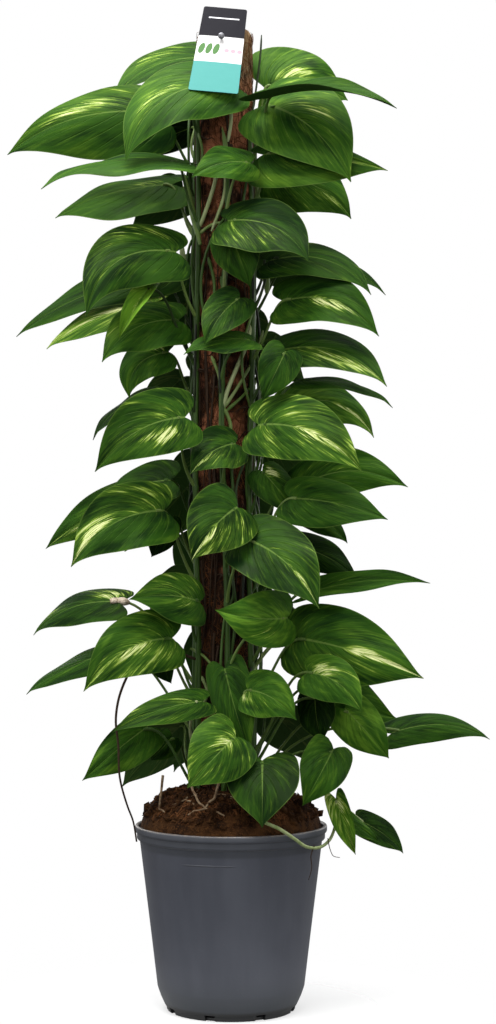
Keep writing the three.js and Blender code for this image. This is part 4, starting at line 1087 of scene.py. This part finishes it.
def settle(leaves, fixed):
    """Eases leaves that crowd each other apart along the depth, which leaves the front view
    alone. Samples that look nearer than SETTLE_NEAR to each other are pairs, all the pairs of
    two leaves keep one order in depth, and those under SETTLE_GAP apart push both leaves. The
    fixed points, the label's, push without moving, and the pole keeps a zone clear."""
    count = len(leaves.root)
    stalk_at = [0.35, 0.6, 0.85]
    blade_s, blade_q = (grid.ravel() for grid in np.meshgrid(
        [0, 0.17, 0.34, 0.5, 0.67, 0.84, 1], [-1, -0.5, 0, 0.5, 1], indexing="ij"))
    half = leaves.width[:, None] / 2 * plain_width(blade_s)
    slide = -LOBE_REACH * leaves.length[:, None] * np.abs(blade_q) ** 1.5 * (1 - blade_s) ** 3
    blades = leaves.points(np.tile(blade_s, (count, 1)), blade_q * half, 0.0, slide)
    spots = np.concatenate([bezier(stalk_handles(leaves), stalk_at), blades], 1)
    owner = np.append(np.repeat(np.arange(count), spots.shape[1]), np.full(len(fixed), count))
    spots = np.concatenate([spots.reshape(-1, 3), fixed])

    def each_spot(on_stalk, on_blade):
        return np.append(np.tile([*on_stalk, *on_blade], count), np.zeros(len(fixed)))

    to_root = each_spot(stalk_at, 1 - blade_s)
    to_tip = each_spot([0, 0, 0], blade_s)
    stalk = each_spot([1, 1, 1], 0 * blade_s).astype(int)
    first, second = [], []
    for number in range(count):
        mine = np.flatnonzero(owner == number)
        theirs = np.flatnonzero(owner > number)
        gap = np.hypot(*(spots[mine, None, way] - spots[None, theirs, way] for way in (0, 2)))
        near_mine, near_theirs = np.nonzero(gap <= SETTLE_NEAR)
        first.append(mine[near_mine])
        second.append(theirs[near_theirs])
    first, second = np.concatenate(first), np.concatenate(second)
    key = ((owner[first] * (count + 1) + owner[second]) * 2 + stalk[first]) * 2 + stalk[second]
    _, group = np.unique(key, return_inverse=True)
    zone = np.where(stalk == 1, STALK_ZONE, CORE_ZONE)
    off_axis = spots[:, 0] - POLE_X
    beside = np.abs(off_axis) < zone
    edge = np.sqrt(np.maximum(zone ** 2 - off_axis ** 2, 0))
    in_front = np.append(leaves.root[:, 1], fixed[0, 1])[owner] < POLE_Y

    def summed(at_first, at_second):
        return np.bincount(first, at_first, len(spots)) + np.bincount(second, at_second, len(spots))

    shift = np.zeros((count + 1, 2))
    for _ in range(SETTLE_ROUNDS):
        depth = spots[:, 1] + to_root * shift[owner, 0] + to_tip * shift[owner, 1]
        apart = depth[second] - depth[first]
        order = np.where(np.bincount(group, apart) >= 0, 1, -1)[group]
        push = np.maximum(SETTLE_GAP - order * apart, 0) * order / 2
        pushing = (order * apart < SETTLE_GAP).astype(float)
        over = depth - POLE_Y
        pole_push = np.where(in_front, np.minimum(-edge - over, 0), np.maximum(edge - over, 0)) * beside
        total = summed(-push, push) + pole_push
        counts = summed(pushing, pushing) + (pole_push != 0)
        pushes = np.bincount(owner, counts, count + 1)[:, None]
        sums = [np.bincount(owner, total * share, count + 1) for share in (to_root, to_tip)]
        eased = SETTLE_KEEP * shift + SETTLE_RATE * np.stack(sums, -1) / np.maximum(pushes, 1)
        shift = np.where(pushes > 0, eased, shift)
    leaves.root_shift, leaves.tip_shift = shift[:count, 0], shift[:count, 1]


draws = seeded_draws(SEED)
look_draw = np.random.default_rng(7)
all_rows, all_vines, all_fans = [], [], []
for number, vine in enumerate(VINES):
    own = vine["leaves"]
    far = far_leaves(vine, draws, look_draw)
    all_rows += own + far
    all_vines += [number] * (len(own) + len(far))
    all_fans += [vine["fan"]] * len(own) + [0] * len(far)
leaves = Leaves(all_rows, np.array(all_fans, float))
leaves.vine = np.array(all_vines)
leaves.azimuth, leaves.top = (
    np.array([VINES[number][key] for number in all_vines], float) for key in ("azimuth", "top"))
card_grid = np.array([
    [x, y, 0]
    for x in np.linspace(-half_bottom, half_bottom, 7)
    for y in np.arange(card_bottom, 0, SETTLE_NEAR)
])
settle(leaves, hung(card_grid))


# The blade's surface is a grid: rows are lateral veins, which leave the midrib and bend forward
# to the margin, and columns run from margin to margin. The margin goes from under the lobe round
# to the tip, as points (across in half widths, along in lengths).
MARGIN_AT = [0, 0.07, 0.13, 0.2, 0.3, 0.42, 0.55, 0.68, 0.8, 0.9, 0.96, 1.0]
MARGIN_ACROSS = [0.52, 0.75, 0.89, 0.965, 0.985, 0.93, 0.785, 0.565, 0.325, 0.125, 0.045, 0.008]
MARGIN_ALONG = [-0.135, -0.115, -0.045, 0.08, 0.25, 0.41, 0.565, 0.705, 0.825, 0.92, 0.965, 1.0]
BLADE_ROWS = 34
BLADE_COLUMNS = 21
BLADE_THICKNESS = 0.7
VEINS = 8
VEIN_LEAN = 0.26


def smooth_through(at, knots, values):
    """A smooth curve through values at knots: a cubic between each two, whose slopes at the
    knots are those of the values around them."""
    knots, values = np.asarray(knots, float), np.asarray(values, float)
    slopes = np.gradient(values, knots, axis=0)
    cell = np.clip(np.searchsorted(knots, at, "right") - 1, 0, len(knots) - 2)
    width = knots[cell + 1] - knots[cell]
    t = (at - knots[cell]) / width
    if values.ndim > 1:
        t, width = t[..., None], width[..., None]
    return (
        (1 + 2 * t) * (1 - t) ** 2 * values[cell] + t * (1 - t) ** 2 * width * slopes[cell]
        + t ** 2 * (3 - 2 * t) * values[cell + 1] - t ** 2 * (1 - t) * width * slopes[cell + 1]
    )


def slope_up(value, low, high):
    """0 under low, 1 over high, and a smooth slope between."""
    t = np.clip((value - low) / (high - low), 0, 1)
    return t * t * (3 - 2 * t)


def blades(leaves, pick, draw):
    """The picked leaves' blades as closed thin sheets, with each corner's place along (0 to 1)
    and across (-1 to 1) its leaf. Lift is the sum of a rounded ridge, a groove on the midrib,
    waves along the margin, cushions between the veins, a twist and a drooping tip."""
    part = leaves.picked(pick)
    half, length, fold, flip = (
        values[:, None, None] for values in (part.width / 2, part.length, part.fold, part.flip))
    v = np.linspace(0, 1, BLADE_ROWS)[:, None]
    even = np.linspace(-1, 1, BLADE_COLUMNS)[None]
    q = (np.sin(np.pi / 2 * even) * 0.55 + even * 0.45) * flip
    size = np.abs(q)
    margin_x = smooth_through(v, MARGIN_AT, MARGIN_ACROSS)
    margin_y = smooth_through(v, MARGIN_AT, MARGIN_ALONG)
    foot = 0.16 * v + 0.84 * v ** 2.7
    round_lobe = np.sin(np.pi / 2 * size)
    bend = round_lobe + (size ** 1.35 - round_lobe) * slope_up(v, 0, 0.22)
    y = foot + (margin_y - foot) * bend
    count = len(pick)
    upper_share, lower_share = part.halves.T[:, :, None, None]
    across = q * margin_x * half * np.where(q > 0, upper_share, lower_share)
    phase = draw.uniform(0, 1, (count, 1, 1))
    other_phase = draw.uniform(0, 1, (count, 1, 1))
    ripple = draw.uniform(0.025, 0.07, (count, 1, 1)) * 2 * half
    twist = draw.normal(0, 0.10, (count, 1, 1))
    roll = draw.normal(0, 0.10, (count, 2))
    roll = np.where(q > 0, roll[:, :1, None], roll[:, 1:, None])
    lift = half * margin_x * np.sin(fold) * (size ** 1.7 - size)
    lift -= 0.9 * np.exp(-(across / 2.2) ** 2) * (1 - 0.6 * v)
    turns = np.where(q > 0, 1.7 * v + phase, 1.5 * v + other_phase)
    wave = np.sin(2 * np.pi * turns)
    lift += ripple * size ** 2 * wave * np.sin(np.pi * np.clip(v + 0.08, 0, 1))
    vein = np.abs(np.sin(np.pi * VEINS * (v - VEIN_LEAN * size)))
    lift += 0.85 * (vein - 0.6) * np.sin(np.pi * np.minimum(size, 1)) * (1 - v)
    lift += across * twist * (v - 0.3) + np.abs(across) * roll * size
    lift -= 4 * np.clip((v - 0.72) / 0.28, 0, 1) ** 2
    thick = BLADE_THICKNESS * (1 - 0.55 * size ** 4)
    rib = 1.1 * np.exp(-(across / 1.7) ** 2) * (1 - 0.8 * v)
    s = np.clip(y, 0, 1)
    slide = np.minimum(y, 0) * length
    upper = part.points(s, across, lift + thick / 2, slide)
    under = part.points(s, across, lift - thick / 2 - rib, slide)
    points = np.stack([upper, under], 1)
    cells = grid_quads(BLADE_ROWS, BLADE_COLUMNS)
    number = np.arange(BLADE_ROWS * BLADE_COLUMNS).reshape(BLADE_ROWS, BLADE_COLUMNS)
    loop = np.concatenate([number[0], number[1:, -1], number[-1, -2::-1], number[-2:0:-1, 0]])
    after = np.roll(loop, -1)
    skin = BLADE_ROWS * BLADE_COLUMNS
    faces = np.concatenate([
        cells[:, ::-1], cells + skin, np.stack([loop, after, after + skin, loop + skin], -1),
    ])
    quads = copies(faces, count, 2 * skin)
    place = np.stack(np.broadcast_arrays(v, q), -1)
    place = np.stack([place, place], 1).reshape(-1, 2)
    return (points, quads), place, 2 * skin


def attribute(thing, name, kind, values):
    """A value of a kind, FLOAT or FLOAT_VECTOR, at each point of a thing."""
    data = thing.data.attributes.new(name, kind, "POINT").data
    field = "value" if kind == "FLOAT" else "vector"
    data.foreach_set(field, np.asarray(values, np.float32).ravel())


# The leaf's finish is painted in its own coordinates: along the midrib and from margin to margin,
# where the veins are rows. Marbling is noise stretched along the veins and cut at a level.
DARK_GREEN = (0.0040, 0.0205, 0.0034)
MID_GREEN = (0.0215, 0.0700, 0.0060)
FRESH_GREEN = (0.082, 0.175, 0.0140)
YELLOW_GREEN = (0.25, 0.36, 0.050)
CREAM = (0.66, 0.70, 0.33)
UNDER_GREEN = (0.036, 0.086, 0.019)
TONE_GAIN = 0.55
PATCH_LENGTH = 0.19
PATCH_WIDTH = 0.28

leaf_paint = Paint("marbled_leaf")
leaf_v, leaf_across, _ = leaf_paint.add("ShaderNodeUVMap", {"uv_map": "blade"}, {}, "UV").parts()
leaf_q = leaf_across * 2 - 1
leaf_side = leaf_q.math("ABSOLUTE", leaf_q)
leaf_w = leaf_v - leaf_side * VEIN_LEAN


def leaf_values(name):
    return leaf_paint.add("ShaderNodeAttribute", {"attribute_name": name}, {}, "Vector").parts()


marbled_up, marbled_low, leaf_tone_and_light = leaf_values("look")
patch_v, patch_q, patch_strength = leaf_values("patch")
leaf_seed, leaf_under, _ = leaf_values("kind")


def leaf_noise(along, across, shift, detail=3.0, roughness=0.55):
    """Noise with so many cells along the leaf and across it, which leans with the veins and is
    unlike for each leaf."""
    where = leaf_paint.add("ShaderNodeCombineXYZ", {}, {
        0: leaf_w * along, 1: leaf_q * across, 2: leaf_seed * 7 + shift,
    })
    return leaf_paint.noise(where, 1.0, detail, roughness)


marbling = marbled_low + (marbled_up - marbled_low) * leaf_q.above(-0.02, 0.02)
streaks = leaf_noise(15, 1.3, 0)
hairlines = leaf_noise(48, 3.0, 31, 3, 0.65)
zones = leaf_noise(3.4, 1.7, 57, 2)
# Broad blotches of painted light and shade across each blade; the same noise also gives relief and
# roughness
shade = leaf_noise(2.2, 2.0, 91)
stripes = leaf_noise(11, 1.0, 77)
near_patch = (leaf_v - patch_v) / PATCH_LENGTH
beside_patch = (leaf_q - patch_q) / PATCH_WIDTH
patch_reach = (near_patch * near_patch + beside_patch * beside_patch) ** 0.5
patch = patch_strength * (1 - patch_reach.above(0.2, 1.6))
level = streaks * 0.52 + hairlines * 0.50 + zones * 0.42 - 0.22 + marbling * 0.40
level += patch * (0.24 + (hairlines - 0.5) * 0.9)
pale = level.above(0.72, 0.79)
vein_wave = leaf_v.math("SINE", leaf_w * (np.pi * VEINS))
vein_line = 1 - vein_wave.math("ABSOLUTE", vein_wave).above(0.0, 0.2)
vein_line = vein_line * (1 - leaf_v.above(0.6, 0.95)) * (1 - leaf_side.above(0.5, 0.95))
midrib = 1 - (leaf_side / (1.05 - leaf_v * 0.55)).above(0.018, 0.05)

# Greens first, with broad blotches of painted light and shade across each blade, then the leaf's
# tone, partly painted light and shade too, and the pale marbling, the midrib and the edge over them
greens = leaf_tone_and_light * 0.45 + shade * 1.6 + stripes * 0.60 + hairlines * 0.35 - 0.79
leaf_paint.colour = leaf_paint.mix(greens.above(0.1, 0.62), DARK_GREEN, MID_GREEN)
leaf_paint.over(greens.above(0.58, 1.05), FRESH_GREEN)
leaf_paint.over(level.above(0.56, 0.76) * 0.5, FRESH_GREEN)
leaf_paint.over(vein_line * 0.28, FRESH_GREEN)
# The tone scales the greens: painted light and shade as well as the leaf's own colour
leaf_paint.colour = leaf_paint.add(
    "ShaderNodeVectorMath", {"operation": "SCALE"},
    {0: leaf_paint.colour, "Scale": 1 + leaf_tone_and_light * TONE_GAIN})
leaf_paint.over(pale * 0.85, YELLOW_GREEN)
leaf_paint.over(level.above(0.79, 0.91) * 0.92, CREAM)
leaf_paint.over(midrib * 0.55, (0.15, 0.24, 0.05))
leaf_paint.over(leaf_side.above(0.972, 0.992) * 0.5, (0.10, 0.17, 0.03))
under_colour = leaf_paint.mix(pale * 0.45, UNDER_GREEN, (0.14, 0.19, 0.05))
under_colour = leaf_paint.mix(midrib * 0.6 + vein_line * 0.2, under_colour, (0.10, 0.16, 0.04))
leaf_paint.over(leaf_under, under_colour)
leaf_bump = vein_line * -0.5 + leaf_noise(120, 60, 13, 3, 0.6) * 0.2 + shade * 0.5 + stripes * 0.4
# A leaf seen edge-on is rougher, so the sky doesn't grey it
leaf_grazing = leaf_paint.add("ShaderNodeLayerWeight", {}, {"Blend": 0.5}, "Facing")
leaf_rough = 0.34 + leaf_under * 0.22 + shade * 0.10 + leaf_grazing * 0.34
marbled_leaf = leaf_paint.finish(
    leaf_rough, leaf_bump, 1.2 * MM, Specular_IOR_Level=0.08, Specular_Tint=(0.80, 1.0, 0.45))


# Stems and stalks: round green stems with a swollen ring at each leaf, and round stalks that
# clasp the stem below and swell a little where they meet the blade. Short brown roots leave the
# stem behind each leaf and cling to the coir.
stalk_paint = Paint("green_stalk")
stalk_long = stalk_paint.mottle(210, 3, stretch=(1, 1, 0.25))
stalk_tint = stalk_paint.add("ShaderNodeAttribute", {"attribute_name": "tint"}, {}, "Fac")
stalk_shade = stalk_tint + stalk_long * 0.30 + stalk_paint.mottle(14, 2) * 0.24 - 0.27
stalk_paint.colour = stalk_paint.mix(
    stalk_shade.above(0.0, 0.40), (0.010, 0.014, 0.006), (0.040, 0.090, 0.012))
stalk_paint.over(stalk_shade.above(0.40, 0.72), (0.13, 0.20, 0.045))
stalk_paint.over(stalk_shade.above(0.72, 1.05), (0.36, 0.41, 0.20))
green_stalk = stalk_paint.finish(0.45, stalk_long, 0.8 * MM, Specular_IOR_Level=0.25)
root_paint = Paint("brown_root")
root_long = root_paint.mottle(160, 4, 0.6)
root_paint.colour = root_paint.mix(root_long, (0.010, 0.006, 0.004), (0.060, 0.034, 0.018))
brown_root = root_paint.finish(0.8, root_long, 1 * MM, Specular_IOR_Level=0.15)

STALK_STEPS = 16
STALK_RADIUS = 2.0
blade_draw = np.random.default_rng(5)
root_draw = np.random.default_rng(17)


def hump(value, middle, width):
    """1 at the middle and a bell-shaped fall to 0 on both sides of it."""
    return np.exp(-((value - middle) / width) ** 2)


stalk_curves = stalk_handles(leaves)
starts, _, _, ends = stalk_curves
stalk_share = np.linspace(0, 1, STALK_STEPS)
stalk_paths = bezier(stalk_curves, stalk_share)
stalk_radii = STALK_RADIUS * (
    0.85 + 0.35 * hump(stalk_share, 0, 0.16) + 0.22 * hump(stalk_share, 0.93, 0.06))
# Below the spot where it parts from the stem, each stalk runs up along it in a bundle
BUNDLE_STEPS = 12
bundle_draw = np.random.default_rng(29)
bundle = even_draws(bundle_draw, len(leaves.root))
bundle_share = np.linspace(0, 1, BUNDLE_STEPS)[None]
bundle_drop = bundle(45, 170)
bundle_height = np.maximum(starts[:, 2:] - bundle_drop * (1 - bundle_share), STEM_STRAIGHT_TO - 30)
bundle_stem = stem_points(leaves.azimuth[:, None], bundle_height)
bundle_angle = np.arctan2(bundle_stem[..., 1] - POLE_Y, bundle_stem[..., 0] - POLE_X)
bundle_swing = np.sin(np.pi * (1 - bundle_share))
bundle_angle += np.radians(bundle_draw.normal(0, 15, (len(leaves.root), 1))) * bundle_swing ** 0.8
bundle_out = bundle(2.0, 7.0) * bundle_swing ** 0.6
bundle_paths = round_pole(STEM_RING + bundle_out, bundle_angle, bundle_height)
bundle_radii = STALK_RADIUS * np.array([0.4, *np.full(BUNDLE_STEPS - 2, 0.85), 1.0])

RUNNER_ROOT = [26, -70]
RUNNER_RISE = [170, 209, 251]
RUNNER_PATH = [
    [33, 246, -92], [39, 234, -114], [60, 224, -114], [80, 211, -102], [93, 202, -91],
    [106, 200, -76], [117, 204, -58], [125, 213, -44], [132, 236, -36], [134, 256, -33],
]
RUNNER_STALK_SHARES = [0.995, 0.93, 0.97]
RUNNER_RADIUS = 2.3
RUNNER_STEPS = 90


def through(spots, count):
    """Points spread along a smooth curve through the spots, by the length between them."""
    spots = np.asarray(spots, float)
    knots = np.concatenate([[0], np.cumsum(np.linalg.norm(np.diff(spots, axis=0), axis=1))])
    return smooth_through(np.linspace(0, knots[-1], count), knots, spots)


def clinging_roots(azimuth, heights, draw):
    """Short roots, three at each height, from the stem back to the pole's coir and on over it."""
    heights = np.repeat(heights, 3)[:, None]
    each = even_draws(draw, len(heights))
    t = np.linspace(0, 1, 8)
    hand = np.where(np.arange(len(heights)) % 2 == 0, 1.0, -1.0)[:, None]
    reach = each(8, 26)
    fall = each(-6, 16)
    start = stem_points(azimuth, heights)[:, 0]
    stem_angle = np.arctan2(start[:, 1:2] - POLE_Y, start[:, :1] - POLE_X)
    angle = stem_angle + hand * reach * t ** 0.8 / POLE_RADIUS
    radius = STEM_RING - (STEM_RING - POLE_RADIUS + 0.3) * slope_up(t, 0, 0.55)
    height = heights - fall * t ** 1.3 + 1.5 * np.sin(9 * t + hand)
    thick = each(0.7, 1.3) * (1 - 0.55 * t)
    return tubes(round_pole(radius, angle, height), thick, sides=5)


def green_tubes(name, parts, tints):
    """A piece of green tubes from several parts, with a tint for each tube or for all the tubes of
    a part, from dark (0) to pale (1)."""
    thing = mesh_object(name, together(*parts), green_stalk, sharp=60)
    spread = [
        np.repeat(np.broadcast_to(tint, len(part[0])), part[0].shape[1])
        for part, tint in zip(parts, tints)
    ]
    attribute(thing, "tint", "FLOAT", np.concatenate(spread))
    ride(thing, "foliage")


def root_tubes(name, shape):
    """A piece of brown roots."""
    ride(mesh_object(name, shape, brown_root), "foliage")


tint_draw = np.random.default_rng(61)
stalk_tints = np.clip(tint_draw.normal(0.52, 0.2, len(leaves.root)), 0.15, 0.95)
bundle_tints = np.clip(tint_draw.normal(0.2, 0.2, len(leaves.root)), 0, 0.7)
STEM_TINT = 0.3
RUNNER_TINT = 0.9
STEM_STEP = 4.0
STEM_TAPER = 300
STEM_TIP = 14
NODE_REACH = 4.5
NODE_SWELL = 0.8
BETWEEN_NODES = STEM_RADIUS - 0.9

for number, vine in enumerate(VINES):
    pick = np.flatnonzero(leaves.vine == number)
    shape, place, per_leaf = blades(leaves, pick, blade_draw)
    foliage = mesh_object(vine["name"] + "_leaves", shape, marbled_leaf, sharp=60)
    owner = np.repeat(pick, per_leaf)
    skin = np.tile(np.repeat([0, 1], per_leaf // 2), len(pick))
    attribute(foliage, "look", "FLOAT_VECTOR", leaves.look[owner][:, :3])
    attribute(foliage, "patch", "FLOAT_VECTOR", leaves.look[owner][:, 3:])
    attribute(foliage, "kind", "FLOAT_VECTOR", np.stack([owner * 1.37 % 9.0, skin, 0 * owner], -1))
    flat_map(foliage, "blade", np.stack([place[:, 0], place[:, 1] / 2 + 0.5], -1))
    ride(foliage, "foliage", "vine_" + vine["name"])
    if vine["name"] == "runner":
        x, y = RUNNER_ROOT
        rise = [[x, y, height] for height in RUNNER_RISE]
        line = through(rise + seen(RUNNER_PATH).tolist(), RUNNER_STEPS)
        stem = tubes(line[None], RUNNER_RADIUS * np.linspace(1, 0.8, RUNNER_STEPS), sides=12)
        begin = line[np.round(np.array(RUNNER_STALK_SHARES) * (RUNNER_STEPS - 1)).astype(int)]
        end = ends[pick]
        span = np.linalg.norm(end - begin, axis=-1, keepdims=True)
        handles = (begin, begin + [0, 0, 0.35] * span, end + [-0.2, 0, 0.15] * span, end)
        stalks = tubes(bezier(handles, stalk_share), stalk_radii * 0.9, sides=9)
        green_tubes(vine["name"] + "_stem", [stem, stalks], [RUNNER_TINT, RUNNER_TINT])
        continue
    height = np.arange(STEM_BOTTOM, vine["top"] + 1, STEM_STEP)
    nodes = np.sort(starts[pick][:, 2])
    ring = hump(height[:, None], nodes, NODE_REACH).max(1)
    taper = 1 - 0.25 * slope_up(height, vine["top"] - STEM_TAPER, vine["top"])
    end_in = 1 - 0.9 * slope_up(height, vine["top"] - STEM_TIP, vine["top"])
    radius = BETWEEN_NODES * taper * end_in + NODE_SWELL * ring * end_in
    stem = tubes(stem_points(vine["azimuth"], height)[None], radius, sides=14)
    stalks = tubes(stalk_paths[pick], stalk_radii, sides=9)
    bundles = tubes(bundle_paths[pick], bundle_radii, sides=7)
    root_tubes(vine["name"] + "_roots", clinging_roots(vine["azimuth"], nodes - 6, root_draw))
    green_tubes(
        vine["name"] + "_stem", [stem, stalks, bundles],
        [STEM_TINT, stalk_tints[pick], bundle_tints[pick]])


# Dry sheaths: the brown, papery ends of old leaf sheaths that still wrap two of the stalks where
# these meet the blade. A row gives the height of the blade's root and the sheath's radius.
DRY_SHEATHS = [(766, 5.2), (508, 6.2)]
SHEATH_VINE = "back_left"
SHEATH_FROM = 0.80
SHEATH_STEPS = 9

papery_paint = Paint("dry_sheath")
papery_cloud = papery_paint.mottle(240, 4, 0.6, stretch=(1, 1, 0.4))
papery_paint.colour = papery_paint.mix(
    papery_cloud.above(0.3, 0.6), (0.26, 0.17, 0.10), (0.66, 0.56, 0.44))
dry_sheath = papery_paint.finish(0.85, papery_cloud, 2 * MM, Specular_IOR_Level=0.2)
sheath_share = np.linspace(0, 1, SHEATH_STEPS)
sheath_vine = [vine["name"] for vine in VINES].index(SHEATH_VINE)
sheath_parts = []
for height, radius in DRY_SHEATHS:
    wrapped = (leaves.vine == sheath_vine) & (np.abs(leaves.root[:, 2] - height) < 1)
    handles = [handle[np.flatnonzero(wrapped)[:1]] for handle in stalk_curves]
    line = bezier(handles, SHEATH_FROM + (1 - SHEATH_FROM) * sheath_share)
    swollen = 0.55 + 0.45 * np.sin(np.pi * sheath_share) ** 0.6
    crumpled = 1 + 0.16 * np.sin(9 * sheath_share + height)
    sheath_parts.append(tubes(line, radius * swollen * crumpled, sides=9, flatten=0.8))
ride(mesh_object("dry_sheaths", together(*sheath_parts), dry_sheath, sharp=60), "foliage")


# Stalks that cross the front of the pole close over the coir, as seen from the front. A row gives
# the tint, the radius and the spots (across, up) that the stalk passes.
CROSSING_STALKS = [
    (0.10, 1.3, [[27, 1118], [33, 1160], [37, 1195], [38, 1214]]),
    (0.95, 2.1, [[0, 1122], [0, 1100], [-4, 1076]]),
    (0.95, 2.5, [[-15, 1050], [-21, 1022], [-30, 995], [-40, 970]]),
    (0.90, 2.3, [[-6, 1042], [-8, 1012], [-16, 986], [-24, 966]]),
    (0.85, 2.4, [[30, 1038], [32, 1020], [29, 1000]]),
    (0.80, 1.8, [[-40, 964], [-24, 974], [-9, 976], [8, 966]]),
    (0.85, 2.0, [[18, 960], [39, 955], [56, 960], [76, 963]]),
    (0.50, 2.0, [[-28, 934], [-21, 905], [-22, 868]]),
    (0.50, 1.8, [[-12, 910], [-10, 878], [-14, 850]]),
    (1.00, 2.7, [[-12, 744], [-4, 770], [9, 802], [20, 829], [25, 852]]),
    (0.85, 2.0, [[-10, 746], [11, 778], [29, 812], [40, 846]]),
    (0.55, 1.8, [[-8, 742], [19, 768], [40, 802], [56, 840]]),
    (0.80, 2.0, [[-24, 812], [-15, 788], [-11, 752]]),
    (0.70, 2.3, [[-9, 748], [-1, 729], [-4, 698]]),
    (0.45, 1.8, [[40, 829], [38, 795], [35, 755], [38, 720]]),
    (0.35, 2.0, [[-1, 704], [1, 666], [4, 618], [-2, 560]]),
    (0.40, 1.7, [[20, 690], [19, 648], [23, 606], [16, 570]]),
    (0.30, 2.0, [[2, 580], [2, 541], [6, 500], [0, 440]]),
    (0.40, 1.6, [[21, 562], [24, 529], [18, 480]]),
    (0.65, 1.8, [[-51, 450], [-35, 442], [-20, 424], [-12, 396]]),
    (0.80, 2.0, [[-36, 416], [-29, 395], [-40, 372]]),
    (0.80, 2.5, [[76, 472], [51, 454], [29, 425], [16, 394]]),
]
CROSSING_STEPS = 24
CROSSING_OUT = 3.0
BESIDE_DEPTH = 14.0


def over_pole(spots, out):
    """The spots (across, up) laid over the front of a round pole that is out wider than the coir;
    beside it they stay a little in front of its middle."""
    off = spots[:, 0] - POLE_X
    depth = np.sqrt(np.maximum((POLE_RADIUS + out) ** 2 - off ** 2, BESIDE_DEPTH ** 2))
    return np.stack([spots[:, 0], POLE_Y - depth, spots[:, 1]], -1)


crossing_parts, crossing_tints = [], []


def cross(rows, form, sides):
    """Adds a tube over the pole for each row, whose radius follows the form from end to end."""
    for tint, radius, spots in rows:
        line = over_pole(through(spots, len(form)), CROSSING_OUT + radius)
        crossing_parts.append(tubes(line[None], radius * form, sides))
        crossing_tints.append(tint)


share = np.linspace(0, 1, CROSSING_STEPS)
ends_in = 1 - 0.45 * hump(share, 0, 0.06) - 0.5 * hump(share, 1, 0.06)
cross(CROSSING_STALKS, ends_in * (1 + 0.35 * hump(share, 0.08, 0.06)), sides=9)

# Young leaves still rolled up as spears, each from its foot to its tip (across, up), over the pole
SPEARS = [
    (0.62, 5.0, [[-38, 950], [-47, 990], [-58, 1042]]),
    (0.72, 5.5, [[45, 892], [44, 908], [39, 928]]),
    (0.95, 4.2, [[-57, 922], [-60, 938], [-62, 960]]),
    (1.00, 4.0, [[25, 380], [22, 396], [18, 414]]),
    (0.60, 4.0, [[-30, 1118], [-28, 1150], [-33, 1180]]),
    (0.60, 3.6, [[-10, 1046], [-7, 1068], [-11, 1094]]),
]
SPEAR_STEPS = 20
share = np.linspace(0, 1, SPEAR_STEPS)
spear_form = 0.35 + 0.65 * np.sin(np.pi * np.minimum(share / 0.7, 1) / 2)
cross(SPEARS, spear_form * (1 - share ** 3) + 0.06, sides=10)
green_tubes("crossing_stalks", crossing_parts, crossing_tints)

# Long aerial roots that run down the pole, pressed into the coir
LONG_ROOTS = 84
LONG_ROOT_STEPS = 30
LONG_ROOT_TOPS = (330, 1150)
LONG_ROOT_FALLS = (90, 330)
LONG_ROOT_BOTTOM = 262
each_root = even_draws(np.random.default_rng(71), LONG_ROOTS)
share = np.linspace(0, 1, LONG_ROOT_STEPS)[None]
long_top = each_root(*LONG_ROOT_TOPS)
long_fall = np.minimum(each_root(*LONG_ROOT_FALLS), long_top - LONG_ROOT_BOTTOM)
long_angle = each_root(0, 2 * np.pi) + 0.12 * np.sin(each_root(3, 8) * share + each_root(0, 6))
long_out = POLE_RADIUS + 0.4 + each_root(0, 1.6) * np.sin(np.pi * share) ** 0.5
long_paths = round_pole(long_out, long_angle, long_top - long_fall * share)
root_tubes("pole_roots", tubes(long_paths, each_root(0.9, 1.9) * (1 - 0.5 * share), 6))

# Two hair-thin roots of the shoot over the rim
THIN_ROOTS = [
    [[121, 212, -62], [124, 198, -60], [128, 190, -58], [136, 188, -57]],
    [[104, 203, -80], [100, 190, -86], [101, 176, -87], [97, 160, -86]],
]
THIN_RADIUS = 0.75
THIN_STEPS = 24
thin_lines = np.stack([through(seen(spots), THIN_STEPS) for spots in THIN_ROOTS])
thin_radii = THIN_RADIUS * np.linspace(1, 0.5, THIN_STEPS)
root_tubes("rim_roots", tubes(thin_lines, thin_radii, sides=6))

# The long aerial root that hangs at the left and ends against the pot
HANGING_ROOT = [
    [-44, 436, -22], [-79, 447, -38], [-104, 444, -52], [-121, 430, -60], [-131, 412, -64],
    [-140, 388, -68], [-144, 360, -72], [-141, 330, -76], [-139, 288, -76], [-130, 254, -62],
    [-122, 232, -46], [-118, 208, -40],
]
HANGING_RADIUS = 1.9
HANGING_STEPS = 70
hanging_line = through(seen(HANGING_ROOT), HANGING_STEPS)
hanging_radii = HANGING_RADIUS * np.linspace(1, 0.55, HANGING_STEPS)
root_tubes("hanging_root", tubes(hanging_line[None], hanging_radii, sides=9))
